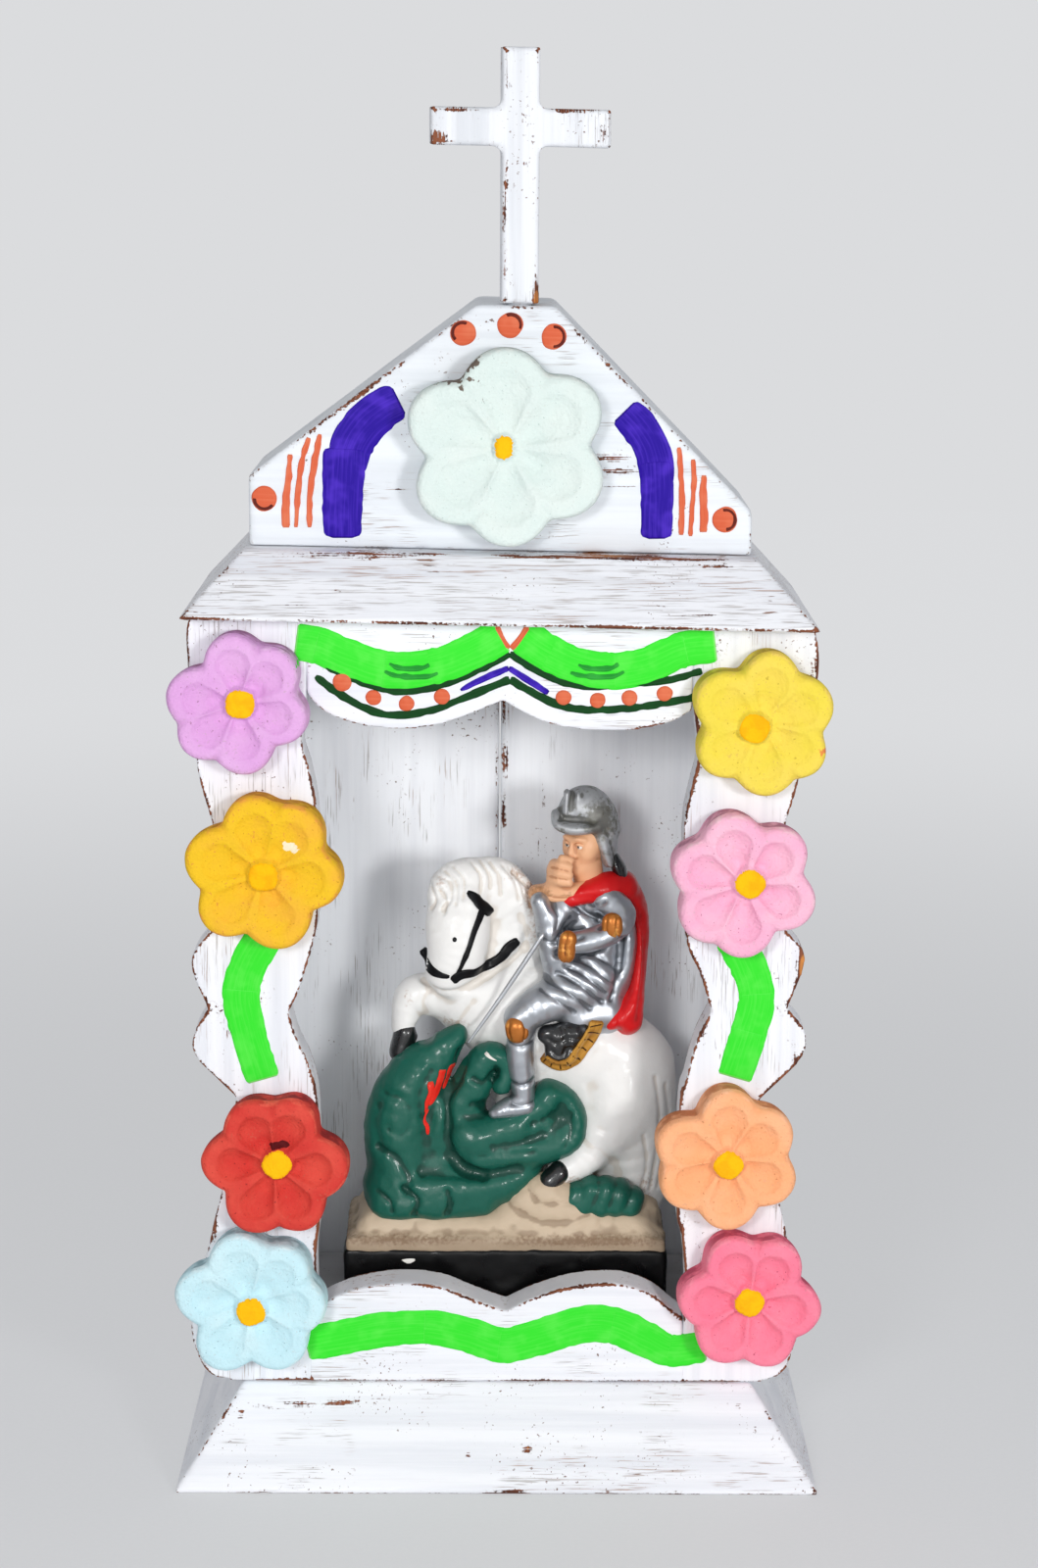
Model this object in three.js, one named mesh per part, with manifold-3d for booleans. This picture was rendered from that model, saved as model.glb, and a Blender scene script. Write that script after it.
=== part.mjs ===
// Wooden chapel shrine with a cast horseman and dragon standing loose in its niche.
// Millimetres, +Z up, the front towards -Y. The origin lies under the middle of the plinth.
import * as THREE from "three";
import { mergeVertices } from "three/addons/utils/BufferGeometryUtils.js";
import Module from "manifold-3d";

// Clearances and small edges
const FIT_GAP = 0.3;
const WOOD_EDGE = 0.8;
const BLOCK_ARRIS = 1.2;

// Plinth
const PLINTH_WIDTH = 227;
const PLINTH_DEPTH = 118;
const PLINTH_HEIGHT = 34;
const PLINTH_SIDE_BEVEL = 23;
const PLINTH_FRONT_BEVEL = 20;

// Niche behind the front frame
const NICHE_WIDTH = 156;
const NICHE_DEPTH = 71;
const SIDE_THICKNESS = 12;
const FLOOR_THICKNESS = 18;
const CEILING_THICKNESS = 12;
const BACK_THICKNESS = 10;

// Front frame, from its foot on the plinth to the underside of the cornice
const FRAME_HEIGHT = 272;
const FRAME_THICKNESS = 16;
const FRAME_SETBACK = 21;
const FRAME_TOP_WIDTH = 212;
const FRAME_SHOULDER_WIDTH = 216;
const FRAME_FOOT_WIDTH = 184;
const FRAME_NOTCH_WIDTH = 184;
const FRAME_CUSP_WIDTH = 202;
const FOOT_SHOULDER_RISE = 20;
const NOTCH_SPREAD = 62;
const OUTER_LOBE = 9.5;
const OUTER_SWELL = 3;

// Window in the frame
const WINDOW_WIDTH = 132;
const WINDOW_HEIGHT = 221;
const WINDOW_CUSP_WIDTH = 146;
const STILE_LOBE = 6.5;
const RAIL_LOBE = 10;
const TENON_THICKNESS = 6;
const TENON_HEIGHT = 14;
const TENON_LENGTH = 12;

// Cornice and pediment
const CORNICE_WIDTH = 216;
const CORNICE_HEIGHT = 24;
const CORNICE_OVERHANG = 15;
const CORNICE_SIDE_BEVEL = 20;
const CORNICE_FRONT_BEVEL = 20;
const PEDIMENT_WIDTH = 173;
const PEDIMENT_DEPTH = 62;
const PEDIMENT_HEIGHT = 83;
const PEDIMENT_LEFT_WALL = 24;
const PEDIMENT_RIGHT_WALL = 15;
const PEDIMENT_RIDGE_WIDTH = 27;
const PEDIMENT_RIDGE_SHIFT = 5;
const PEDIMENT_LEDGE = 10;

// Cross on the ridge
const CROSS_HEIGHT = 87;
const CROSS_SPAN = 61;
const CROSS_STICK = 13;
const CROSS_ARM_DROP = 20;
const CROSS_SHIFT = 6;
const CROSS_TURN = THREE.MathUtils.degToRad(4.5);
const CROSS_EDGE = 1.2;
const CROSS_FRONT_MARGIN = 1;
const DOWEL_RADIUS = 4;
const DOWEL_LENGTH = 12;

// Wire nails that hold the back boards to the side boards
const NAIL_HEAD_RADIUS = 2.6;
const NAIL_HEAD_THICKNESS = 0.9;
const NAIL_SHANK_RADIUS = 0.9;
const NAIL_LENGTH = 22;
const NAIL_END_MARGIN = 14;
const NAILS_PER_BOARD = 4;

// Modelled flowers: a thick six-lobed plaque with a scoop in each petal and a stub in the middle
const PETALS = 6;
const FLOWER_THICKNESS = 12;
const FLOWER_EDGE = 1.4;
const NOTCH_SHARE = 0.4;
const SCOOP_REACH_SHARE = 0.27;
const SCOOP_LENGTH_SHARE = 0.17;
const SCOOP_WIDTH_SHARE = 0.125;
const SCOOP_DEPTH = 2.2;
const BOSS_RADIUS_SHARE = 0.1;
const BOSS_RISE = 1;
const PEDIMENT_FLOWER_SIZE = 68;
const PEDIMENT_FLOWER_THICKNESS = 14;
const PEDIMENT_FLOWER_HEIGHT = 37;
const PEDIMENT_FLOWER_TURN = 33;

// Cast figurine on its base, standing on the niche floor
const BASE_WIDTH = 117;
const BASE_DEPTH = 50;
const BASE_HEIGHT = 24;
const BASE_SHIFT = 2.8;
const BASE_GAP = 5;
const GROUND_HEIGHT = 12;
const GROUND_INSET = 2;
const FIGURINE_HEIGHT = 193;
const LANCE_RADIUS = 1.1;
const FORELEG_HOLE_RADIUS = 3.6;

// The cast's limbs are drawn in a frame with this many units to the figurine's height
const UNITS_PER_HEIGHT = 193;

// Facets
const LIMB_SIDES = 9;
const LIMB_STEPS = 2;
const ARC_SEGMENTS = 4;
const FLOWER_SEGMENTS = 3;
const ROUND_SEGMENTS = 16;

// Places worked out from the sizes
const FRONT = -PLINTH_DEPTH / 2;
const FRAME_FRONT = FRONT + FRAME_SETBACK;
const FRAME_BACK = FRAME_FRONT + FRAME_THICKNESS;
const NICHE_BACK = FRAME_BACK + NICHE_DEPTH;
const SHRINE_BACK = NICHE_BACK + BACK_THICKNESS;
const FRAME_TOP = PLINTH_HEIGHT + FRAME_HEIGHT;
const FRAME_MIDDLE = PLINTH_HEIGHT + FRAME_HEIGHT / 2;
const NICHE_FLOOR = PLINTH_HEIGHT + FLOOR_THICKNESS;
const BOX_WIDTH = NICHE_WIDTH + 2 * SIDE_THICKNESS;
const CORNICE_FRONT = FRAME_FRONT - CORNICE_OVERHANG;
const CORNICE_TOP = FRAME_TOP + CORNICE_HEIGHT;
const PEDIMENT_FRONT = CORNICE_FRONT + CORNICE_FRONT_BEVEL + PEDIMENT_LEDGE;
const PEDIMENT_TOP = CORNICE_TOP + PEDIMENT_HEIGHT;
const CROSS_AT = new THREE.Vector3(
  CROSS_SHIFT,
  PEDIMENT_FRONT + CROSS_FRONT_MARGIN + CROSS_STICK / 2,
  PEDIMENT_TOP,
);
const CAST_SCALE = FIGURINE_HEIGHT / UNITS_PER_HEIGHT;
const BASE_AT = new THREE.Vector3(
  BASE_SHIFT,
  FRAME_BACK + BASE_GAP + BASE_DEPTH / 2,
  NICHE_FLOOR,
);

// Name, offset from the frame's middle line, height, size, turn in degrees, colour. The upper
// flowers hang from the frame's top, the lower ones rise from its foot.
const SIDE_FLOWERS = [
  ["flower_violet", -89, FRAME_TOP - 25, 51, 42, 0xb678b4],
  ["flower_amber", -81, FRAME_TOP - 83, 55, 47, 0xeab510],
  ["flower_red", -78, PLINTH_HEIGHT + 83, 52, 0, 0xd2262c],
  ["flower_sky", -87, PLINTH_HEIGHT + 33, 53, 53, 0xa8dbe4],
  ["flower_yellow", 90, FRAME_TOP - 30, 52, 28, 0xf0dc1c],
  ["flower_rose", 84, FRAME_TOP - 87, 51, 40, 0xe58aa8],
  ["flower_peach", 79, PLINTH_HEIGHT + 86, 51, 33, 0xf38a4c],
  ["flower_coral", 89, PLINTH_HEIGHT + 36, 51, 55, 0xe75468],
];

// Colours
const WHITE_PAINT = 0xeef0ef;
const GREY_PAINT = 0xd9dcdd;
const STEEL = 0x8a8580;
const PLASTER_PAINT = 0x2f6b52;
const SILVER_PAINT = 0xb9bcc0;
const MINT = 0xd3e4da;

const wasm = await Module();
wasm.setup();

// Solids from closed geometries, and back again
function solidFrom(geometry) {
  const bare = new THREE.BufferGeometry();
  bare.setAttribute("position", geometry.getAttribute("position"));
  bare.setIndex(geometry.index);
  const welded = mergeVertices(bare, 1e-4);
  const mesh = new wasm.Mesh({
    numProp: 3,
    vertProperties: Float32Array.from(welded.attributes.position.array),
    triVerts: Uint32Array.from(welded.index.array),
  });
  return new wasm.Manifold(mesh);
}

function geometryFrom(solid) {
  const mesh = solid.getMesh();
  const geometry = new THREE.BufferGeometry();
  geometry.setAttribute("position", new THREE.BufferAttribute(mesh.vertProperties, 3));
  geometry.setIndex(new THREE.BufferAttribute(mesh.triVerts, 1));
  const faceted = geometry.toNonIndexed();
  faceted.computeVertexNormals();
  return faceted;
}

function join(geometries) {
  const solids = geometries.map(solidFrom);
  return geometryFrom(solids.reduce((whole, next) => whole.add(next)));
}

function cut(geometry, tools) {
  const left = tools.map(solidFrom).reduce((rest, tool) => rest.subtract(tool), solidFrom(geometry));
  return geometryFrom(left);
}

function part(name, geometry, color, roughness = 0.7, metalness = 0) {
  const mesh = new THREE.Mesh(
    geometry,
    new THREE.MeshStandardMaterial({ color, roughness, metalness }),
  );
  mesh.name = name;
  return mesh;
}

// Upright board drawn from the front: a shape in X and Z, cut from stock of one thickness
function frontBoard(shape, front, thickness, edge = WOOD_EDGE) {
  const geometry = new THREE.ExtrudeGeometry(shape, {
    depth: thickness - 2 * edge,
    bevelThickness: edge,
    bevelSize: edge,
    bevelOffset: -edge,
    bevelSegments: 1,
    curveSegments: ARC_SEGMENTS,
  });
  geometry.rotateX(Math.PI / 2);
  geometry.translate(0, front + thickness - edge, 0);
  return geometry;
}

function rectangle(left, right, bottom, top) {
  return new THREE.Shape([
    new THREE.Vector2(left, bottom),
    new THREE.Vector2(right, bottom),
    new THREE.Vector2(right, top),
    new THREE.Vector2(left, top),
  ]);
}

// Adds an arc to the outline from where it stands. A positive swell bows to the right of the way.
function arcTo(outline, x, y, swell) {
  const start = outline.currentPoint.clone();
  const end = new THREE.Vector2(x, y);
  const chord = end.clone().sub(start);
  const half = chord.length() / 2;
  const radius = (half * half + swell * swell) / (2 * Math.abs(swell));
  const right = new THREE.Vector2(chord.y, -chord.x).normalize();
  const inward = (radius - Math.abs(swell)) * -Math.sign(swell);
  const centre = start.clone().add(end).multiplyScalar(0.5).addScaledVector(right, inward);
  const from = Math.atan2(start.y - centre.y, start.x - centre.x);
  const to = Math.atan2(end.y - centre.y, end.x - centre.x);
  outline.absarc(centre.x, centre.y, radius, from, to, swell < 0);
}

// Closed solid through level rings of equal length, each ring anticlockwise from above
function loft(rings) {
  const count = rings[0].length;
  const points = rings.flat();
  const faces = [];
  for (let level = 0; level + 1 < rings.length; level += 1) {
    for (let i = 0; i < count; i += 1) {
      const a = level * count + i;
      const b = level * count + ((i + 1) % count);
      faces.push(a, b, b + count, a, b + count, a + count);
    }
  }
  const top = (rings.length - 1) * count;
  for (let i = 1; i + 1 < count; i += 1) {
    faces.push(0, i + 1, i, top, top + i, top + i + 1);
  }
  const geometry = new THREE.BufferGeometry().setFromPoints(points);
  geometry.setIndex(faces);
  return geometry;
}

// Moulding block with sloped front and sides, square at the back
function hippedBlock({ width, front, back, bottom, height, sideBevel, frontBevel }) {
  const ring = (inset, setback, z) => [
    new THREE.Vector3(-width / 2 + inset, front + setback, z),
    new THREE.Vector3(width / 2 - inset, front + setback, z),
    new THREE.Vector3(width / 2 - inset, back, z),
    new THREE.Vector3(-width / 2 + inset, back, z),
  ];
  return loft([
    ring(0, 0, bottom),
    ring(0, 0, bottom + BLOCK_ARRIS),
    ring(sideBevel, frontBevel, bottom + height),
  ]);
}

// Woodwork of the niche
function plinth() {
  const block = hippedBlock({
    width: PLINTH_WIDTH,
    front: FRONT,
    back: SHRINE_BACK,
    bottom: 0,
    height: PLINTH_HEIGHT,
    sideBevel: PLINTH_SIDE_BEVEL,
    frontBevel: PLINTH_FRONT_BEVEL,
  });
  return part("plinth", block, WHITE_PAINT);
}

function floorBoard() {
  const shape = rectangle(-NICHE_WIDTH / 2, NICHE_WIDTH / 2, PLINTH_HEIGHT, NICHE_FLOOR);
  return part("floor_board", frontBoard(shape, FRAME_BACK, NICHE_DEPTH), GREY_PAINT);
}

function ceilingBoard() {
  const bottom = FRAME_TOP - CEILING_THICKNESS;
  const shape = rectangle(-NICHE_WIDTH / 2, NICHE_WIDTH / 2, bottom, FRAME_TOP);
  return part("ceiling_board", frontBoard(shape, FRAME_BACK, NICHE_DEPTH), GREY_PAINT);
}

// Heights of the nails in each back board, spread evenly between the end margins
function nailHeights() {
  const lowest = PLINTH_HEIGHT + NAIL_END_MARGIN;
  const pitch = (FRAME_HEIGHT - 2 * NAIL_END_MARGIN) / (NAILS_PER_BOARD - 1);
  return Array.from({ length: NAILS_PER_BOARD }, (_, i) => lowest + i * pitch);
}

function nailLine(side) {
  return side * (NICHE_WIDTH / 2 + SIDE_THICKNESS / 2);
}

// Round bar lying front to back, between two depths
function pinAlongY(x, z, radius, front, back, segments) {
  const geometry = new THREE.CylinderGeometry(radius, radius, back - front, segments);
  geometry.translate(x, (front + back) / 2, z);
  return geometry;
}

function nailHoles(side) {
  const front = SHRINE_BACK - NAIL_LENGTH - FIT_GAP;
  const radius = NAIL_SHANK_RADIUS + FIT_GAP;
  return nailHeights().map((z) =>
    pinAlongY(nailLine(side), z, radius, front, SHRINE_BACK + 1, 6),
  );
}

function nailPockets(side) {
  const front = SHRINE_BACK - NAIL_HEAD_THICKNESS - FIT_GAP;
  const radius = NAIL_HEAD_RADIUS + FIT_GAP;
  return nailHeights().map((z) =>
    pinAlongY(nailLine(side), z, radius, front, SHRINE_BACK + 1, 8),
  );
}

function sideBoard(name, side) {
  const inner = (side * NICHE_WIDTH) / 2;
  const outer = (side * BOX_WIDTH) / 2;
  const shape = rectangle(
    Math.min(inner, outer),
    Math.max(inner, outer),
    PLINTH_HEIGHT,
    FRAME_TOP,
  );
  const board = frontBoard(shape, FRAME_BACK, NICHE_DEPTH);
  return part(name, cut(board, nailHoles(side)), GREY_PAINT);
}

function backBoard(name, side) {
  const seam = (side * FIT_GAP) / 2;
  const outer = (side * BOX_WIDTH) / 2;
  const shape = rectangle(
    Math.min(seam, outer),
    Math.max(seam, outer),
    PLINTH_HEIGHT,
    FRAME_TOP,
  );
  const board = frontBoard(shape, NICHE_BACK, BACK_THICKNESS);
  const drilled = cut(board, [...nailHoles(side), ...nailPockets(side)]);
  return part(name, drilled, GREY_PAINT);
}

function backNail(name, side, z) {
  const head = SHRINE_BACK - NAIL_HEAD_THICKNESS;
  const tip = SHRINE_BACK - NAIL_LENGTH;
  const neck = head + NAIL_HEAD_THICKNESS / 2;
  const shank = pinAlongY(nailLine(side), z, NAIL_SHANK_RADIUS, tip, neck, 6);
  const disc = pinAlongY(nailLine(side), z, NAIL_HEAD_RADIUS, head, SHRINE_BACK, 8);
  return part(name, join([shank, disc]), STEEL, 0.5, 0.8);
}

// Front frame: two scalloped stiles with a valance and a rail tenoned between them
function tenon(side, bottom, clearance) {
  const seam = (side * WINDOW_WIDTH) / 2;
  const tip = side * (WINDOW_WIDTH / 2 + TENON_LENGTH + clearance);
  const root = side * (WINDOW_WIDTH / 2 - WOOD_EDGE * 2);
  const start = clearance > 0 ? seam - side : root;
  const shape = rectangle(
    Math.min(start, tip),
    Math.max(start, tip),
    bottom - clearance,
    bottom + TENON_HEIGHT + clearance,
  );
  const front = FRAME_FRONT + (FRAME_THICKNESS - TENON_THICKNESS) / 2 - clearance;
  return frontBoard(shape, front, TENON_THICKNESS + 2 * clearance, 0.2);
}

const RAIL_TENON_BOTTOM = PLINTH_HEIGHT + (FRAME_HEIGHT - WINDOW_HEIGHT) / 4 - TENON_HEIGHT / 2;
const VALANCE_TENON_BOTTOM = FRAME_TOP - (FRAME_HEIGHT - WINDOW_HEIGHT) / 4 - TENON_HEIGHT / 2;

function stileOutline() {
  const seam = WINDOW_WIDTH / 2;
  const shoulder = PLINTH_HEIGHT + FOOT_SHOULDER_RISE;
  const notchBelow = FRAME_MIDDLE - NOTCH_SPREAD / 2;
  const notchAbove = FRAME_MIDDLE + NOTCH_SPREAD / 2;
  const windowTop = FRAME_MIDDLE + WINDOW_HEIGHT / 2;
  const windowBottom = FRAME_MIDDLE - WINDOW_HEIGHT / 2;
  const outline = new THREE.Shape();
  outline.moveTo(seam, PLINTH_HEIGHT);
  outline.lineTo(FRAME_FOOT_WIDTH / 2, PLINTH_HEIGHT);
  arcTo(outline, FRAME_SHOULDER_WIDTH / 2, shoulder, OUTER_SWELL);
  arcTo(outline, FRAME_NOTCH_WIDTH / 2, notchBelow, OUTER_SWELL);
  arcTo(outline, FRAME_CUSP_WIDTH / 2, FRAME_MIDDLE, OUTER_LOBE);
  arcTo(outline, FRAME_NOTCH_WIDTH / 2, notchAbove, OUTER_LOBE);
  arcTo(outline, FRAME_TOP_WIDTH / 2, FRAME_TOP, OUTER_SWELL);
  outline.lineTo(seam, FRAME_TOP);
  outline.lineTo(seam, windowTop);
  arcTo(outline, WINDOW_CUSP_WIDTH / 2, FRAME_MIDDLE, STILE_LOBE);
  arcTo(outline, seam, windowBottom, STILE_LOBE);
  outline.lineTo(seam, PLINTH_HEIGHT);
  return outline;
}

function stile(name, side) {
  const board = frontBoard(stileOutline(), FRAME_FRONT, FRAME_THICKNESS);
  const mortises = [
    tenon(1, RAIL_TENON_BOTTOM, FIT_GAP),
    tenon(1, VALANCE_TENON_BOTTOM, FIT_GAP),
  ];
  const right = cut(board, mortises);
  return part(name, side > 0 ? right : mirrored(right), WHITE_PAINT);
}

// The same geometry on the other side of the middle plane, with its faces turned round
function mirrored(geometry) {
  const twin = geometry.clone();
  twin.scale(-1, 1, 1);
  const points = twin.attributes.position;
  for (let i = 0; i < points.count; i += 3) {
    const first = new THREE.Vector3().fromBufferAttribute(points, i);
    const last = new THREE.Vector3().fromBufferAttribute(points, i + 2);
    points.setXYZ(i, last.x, last.y, last.z);
    points.setXYZ(i + 2, first.x, first.y, first.z);
  }
  twin.computeVertexNormals();
  return twin;
}

// Board between the stiles with two lobes along one edge. It runs up to the frame's outer level.
function crossMember(name, level, edge, tenonBottom) {
  const seam = WINDOW_WIDTH / 2;
  const outline = new THREE.Shape();
  const towardsWindow = Math.sign(edge - level);
  outline.moveTo(-seam, level);
  outline.lineTo(seam, level);
  outline.lineTo(seam, edge);
  arcTo(outline, 0, edge, towardsWindow * RAIL_LOBE);
  arcTo(outline, -seam, edge, towardsWindow * RAIL_LOBE);
  outline.lineTo(-seam, level);
  const board = frontBoard(outline, FRAME_FRONT, FRAME_THICKNESS);
  const whole = join([board, tenon(-1, tenonBottom, 0), tenon(1, tenonBottom, 0)]);
  return part(name, whole, WHITE_PAINT);
}

function rail() {
  return crossMember("rail", PLINTH_HEIGHT, FRAME_MIDDLE - WINDOW_HEIGHT / 2, RAIL_TENON_BOTTOM);
}

function valance() {
  return crossMember("valance", FRAME_TOP, FRAME_MIDDLE + WINDOW_HEIGHT / 2, VALANCE_TENON_BOTTOM);
}

// Cornice, pediment and cross
function cornice() {
  const block = hippedBlock({
    width: CORNICE_WIDTH,
    front: CORNICE_FRONT,
    back: SHRINE_BACK,
    bottom: FRAME_TOP,
    height: CORNICE_HEIGHT,
    sideBevel: CORNICE_SIDE_BEVEL,
    frontBevel: CORNICE_FRONT_BEVEL,
  });
  return part("cornice", block, WHITE_PAINT);
}

function crossSocket() {
  const socket = new THREE.CylinderGeometry(
    DOWEL_RADIUS + FIT_GAP,
    DOWEL_RADIUS + FIT_GAP,
    DOWEL_LENGTH + FIT_GAP + 1,
    ROUND_SEGMENTS,
  );
  socket.rotateX(Math.PI / 2);
  socket.translate(CROSS_AT.x, CROSS_AT.y, CROSS_AT.z + 1 - (DOWEL_LENGTH + FIT_GAP + 1) / 2);
  return socket;
}

function pediment() {
  const half = PEDIMENT_WIDTH / 2;
  const ridgeLeft = PEDIMENT_RIDGE_SHIFT - PEDIMENT_RIDGE_WIDTH / 2;
  const ridgeRight = PEDIMENT_RIDGE_SHIFT + PEDIMENT_RIDGE_WIDTH / 2;
  const gable = new THREE.Shape([
    new THREE.Vector2(-half, CORNICE_TOP),
    new THREE.Vector2(half, CORNICE_TOP),
    new THREE.Vector2(half, CORNICE_TOP + PEDIMENT_RIGHT_WALL),
    new THREE.Vector2(ridgeRight, PEDIMENT_TOP),
    new THREE.Vector2(ridgeLeft, PEDIMENT_TOP),
    new THREE.Vector2(-half, CORNICE_TOP + PEDIMENT_LEFT_WALL),
  ]);
  const block = frontBoard(gable, PEDIMENT_FRONT, PEDIMENT_DEPTH);
  return part("pediment", cut(block, [crossSocket()]), WHITE_PAINT);
}

// The cross is drawn about its own foot, then set on the ridge and turned a little
function crossPiece(name, geometry) {
  const piece = part(name, geometry, WHITE_PAINT);
  piece.position.copy(CROSS_AT);
  piece.rotation.z = CROSS_TURN;
  return piece;
}

const ARM_LEVEL = CROSS_HEIGHT - CROSS_ARM_DROP - CROSS_STICK;

function crossUpright() {
  const half = CROSS_STICK / 2;
  const stick = frontBoard(rectangle(-half, half, FIT_GAP, CROSS_HEIGHT), -half, CROSS_STICK, CROSS_EDGE);
  const dowel = new THREE.CylinderGeometry(
    DOWEL_RADIUS,
    DOWEL_RADIUS,
    DOWEL_LENGTH + CROSS_STICK,
    ROUND_SEGMENTS,
  );
  dowel.rotateX(Math.PI / 2);
  dowel.translate(0, 0, (CROSS_STICK - DOWEL_LENGTH) / 2);
  const lap = frontBoard(
    rectangle(-CROSS_STICK, CROSS_STICK, ARM_LEVEL - FIT_GAP, ARM_LEVEL + CROSS_STICK + FIT_GAP),
    0,
    CROSS_STICK,
    0.1,
  );
  return crossPiece("cross_upright", cut(join([stick, dowel]), [lap]));
}

function crossArm() {
  const half = CROSS_STICK / 2;
  const stick = frontBoard(
    rectangle(-CROSS_SPAN / 2, CROSS_SPAN / 2, ARM_LEVEL, ARM_LEVEL + CROSS_STICK),
    -half,
    CROSS_STICK,
    CROSS_EDGE,
  );
  const lap = frontBoard(
    rectangle(-half - FIT_GAP, half + FIT_GAP, 0, CROSS_HEIGHT),
    -CROSS_STICK,
    CROSS_STICK + FIT_GAP,
    0.1,
  );
  return crossPiece("cross_arm", cut(stick, [lap]));
}

// Six round lobes between notches, drawn anticlockwise in X and Z
function flowerOutline(size) {
  const notch = size * NOTCH_SHARE;
  const step = (2 * Math.PI) / PETALS;
  const swell = size / 2 - notch * Math.cos(step / 2);
  const outline = new THREE.Shape();
  outline.moveTo(notch * Math.cos(-step / 2), notch * Math.sin(-step / 2));
  for (let i = 0; i < PETALS; i += 1) {
    const angle = (i + 0.5) * step;
    arcTo(outline, notch * Math.cos(angle), notch * Math.sin(angle), swell);
  }
  return outline;
}

// A flower stands on the plane of its back and grows towards the front
function flowerGeometry(size, thickness) {
  const plaque = new THREE.ExtrudeGeometry(flowerOutline(size), {
    depth: thickness - 2 * FLOWER_EDGE,
    bevelThickness: FLOWER_EDGE,
    bevelSize: FLOWER_EDGE,
    bevelOffset: -FLOWER_EDGE,
    bevelSegments: 1,
    curveSegments: FLOWER_SEGMENTS,
  });
  plaque.translate(0, 0, FLOWER_EDGE);
  plaque.rotateX(Math.PI / 2);
  const scoops = Array.from({ length: PETALS }, (_, i) => {
    const scoop = new THREE.SphereGeometry(1, 7, 5);
    scoop.scale(size * SCOOP_LENGTH_SHARE, SCOOP_DEPTH, size * SCOOP_WIDTH_SHARE);
    scoop.translate(size * SCOOP_REACH_SHARE, -thickness, 0);
    return scoop.rotateY((i * 2 * Math.PI) / PETALS);
  });
  const bossRadius = size * BOSS_RADIUS_SHARE;
  const boss = pinAlongY(0, 0, bossRadius, -thickness - BOSS_RISE, -thickness / 2, 9);
  return join([cut(plaque, scoops), boss]);
}

function flower(name, x, y, z, size, thickness, turn, color) {
  const mesh = part(name, flowerGeometry(size, thickness), color, 0.85);
  mesh.position.set(x, y, z);
  mesh.rotation.y = -THREE.MathUtils.degToRad(turn);
  return mesh;
}

function flowers() {
  const onPediment = flower(
    "flower_white",
    0,
    PEDIMENT_FRONT,
    CORNICE_TOP + PEDIMENT_FLOWER_HEIGHT,
    PEDIMENT_FLOWER_SIZE,
    PEDIMENT_FLOWER_THICKNESS,
    PEDIMENT_FLOWER_TURN,
    MINT,
  );
  const onFrame = SIDE_FLOWERS.map(([name, x, z, size, turn, color]) =>
    flower(name, x, FRAME_FRONT, z, size, FLOWER_THICKNESS, turn, color),
  );
  return [onPediment, ...onFrame];
}

// Rounded limb along a curve. Each station is [x, y, z, half width, half depth], in the
// figurine's drawing units: the width is measured across the limb in the front view.
function limb(stations, sides = LIMB_SIDES, steps = LIMB_STEPS) {
  const line = new THREE.CatmullRomCurve3(stations.map(([x, y, z]) => new THREE.Vector3(x, y, z)));
  const girth = new THREE.CatmullRomCurve3(
    stations.map(([, , , width, depth]) => new THREE.Vector3(width, depth, 0)),
  );
  const spans = (stations.length - 1) * steps;
  const rings = [];
  const addRing = (t, beyond, share) => {
    const along = line.getTangent(t);
    const deep = new THREE.Vector3(0, 1, 0).addScaledVector(along, -along.y).normalize();
    const across = new THREE.Vector3().crossVectors(deep, along);
    const centre = line.getPoint(t).addScaledVector(along, beyond);
    const size = girth.getPoint(t);
    const ring = [];
    for (let i = 0; i < sides; i += 1) {
      const angle = (i * 2 * Math.PI) / sides;
      ring.push(
        centre
          .clone()
          .addScaledVector(across, size.x * share * Math.cos(angle))
          .addScaledVector(deep, size.y * share * Math.sin(angle)),
      );
    }
    rings.push(ring);
  };
  const capHeight = (t) => 0.7 * Math.min(girth.getPoint(t).x, girth.getPoint(t).y);
  addRing(0, -capHeight(0), 0.45);
  addRing(0, -capHeight(0) * 0.6, 0.8);
  for (let i = 0; i <= spans; i += 1) {
    addRing(i / spans, 0, 1);
  }
  addRing(1, capHeight(1) * 0.6, 0.8);
  addRing(1, capHeight(1), 0.45);
  return loft(rings).scale(CAST_SCALE, CAST_SCALE, CAST_SCALE);
}

function egg(x, y, z, width, depth, height, tilt = 0) {
  const shell = new THREE.SphereGeometry(1, 12, 8);
  shell.rotateX(Math.PI / 2);
  shell.scale(width, depth, height);
  shell.rotateY(tilt);
  shell.translate(x, y, z);
  return shell.scale(CAST_SCALE, CAST_SCALE, CAST_SCALE);
}

// Base with sand-coloured ground, rocks and a green tuft
function groundForms() {
  const slab = frontBoard(
    rectangle(-BASE_WIDTH / 2, BASE_WIDTH / 2, 0, BASE_HEIGHT),
    -BASE_DEPTH / 2,
    BASE_DEPTH,
  );
  const ring = (inset, z) => {
    const x = BASE_WIDTH / 2 - inset;
    const y = BASE_DEPTH / 2 - inset;
    return [
      new THREE.Vector3(-x, -y, z),
      new THREE.Vector3(x, -y, z),
      new THREE.Vector3(x, y, z),
      new THREE.Vector3(-x, y, z),
    ];
  };
  const soil = loft([
    ring(WOOD_EDGE, BASE_HEIGHT - 2),
    ring(GROUND_INSET, BASE_HEIGHT + GROUND_HEIGHT * 0.3),
    ring(GROUND_INSET * 2, BASE_HEIGHT + GROUND_HEIGHT),
  ]);
  const rock = limb([
    [0, -8, 32, 9, 11],
    [14, -6, 38, 13, 12],
    [30, -2, 34, 12, 13],
  ]);
  const tuft = limb([
    [27, -8, 36, 8, 9],
    [36, -8, 38, 10, 10],
    [45, -6, 35, 7, 9],
  ]);
  return [slab, soil, rock, tuft];
}

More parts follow.
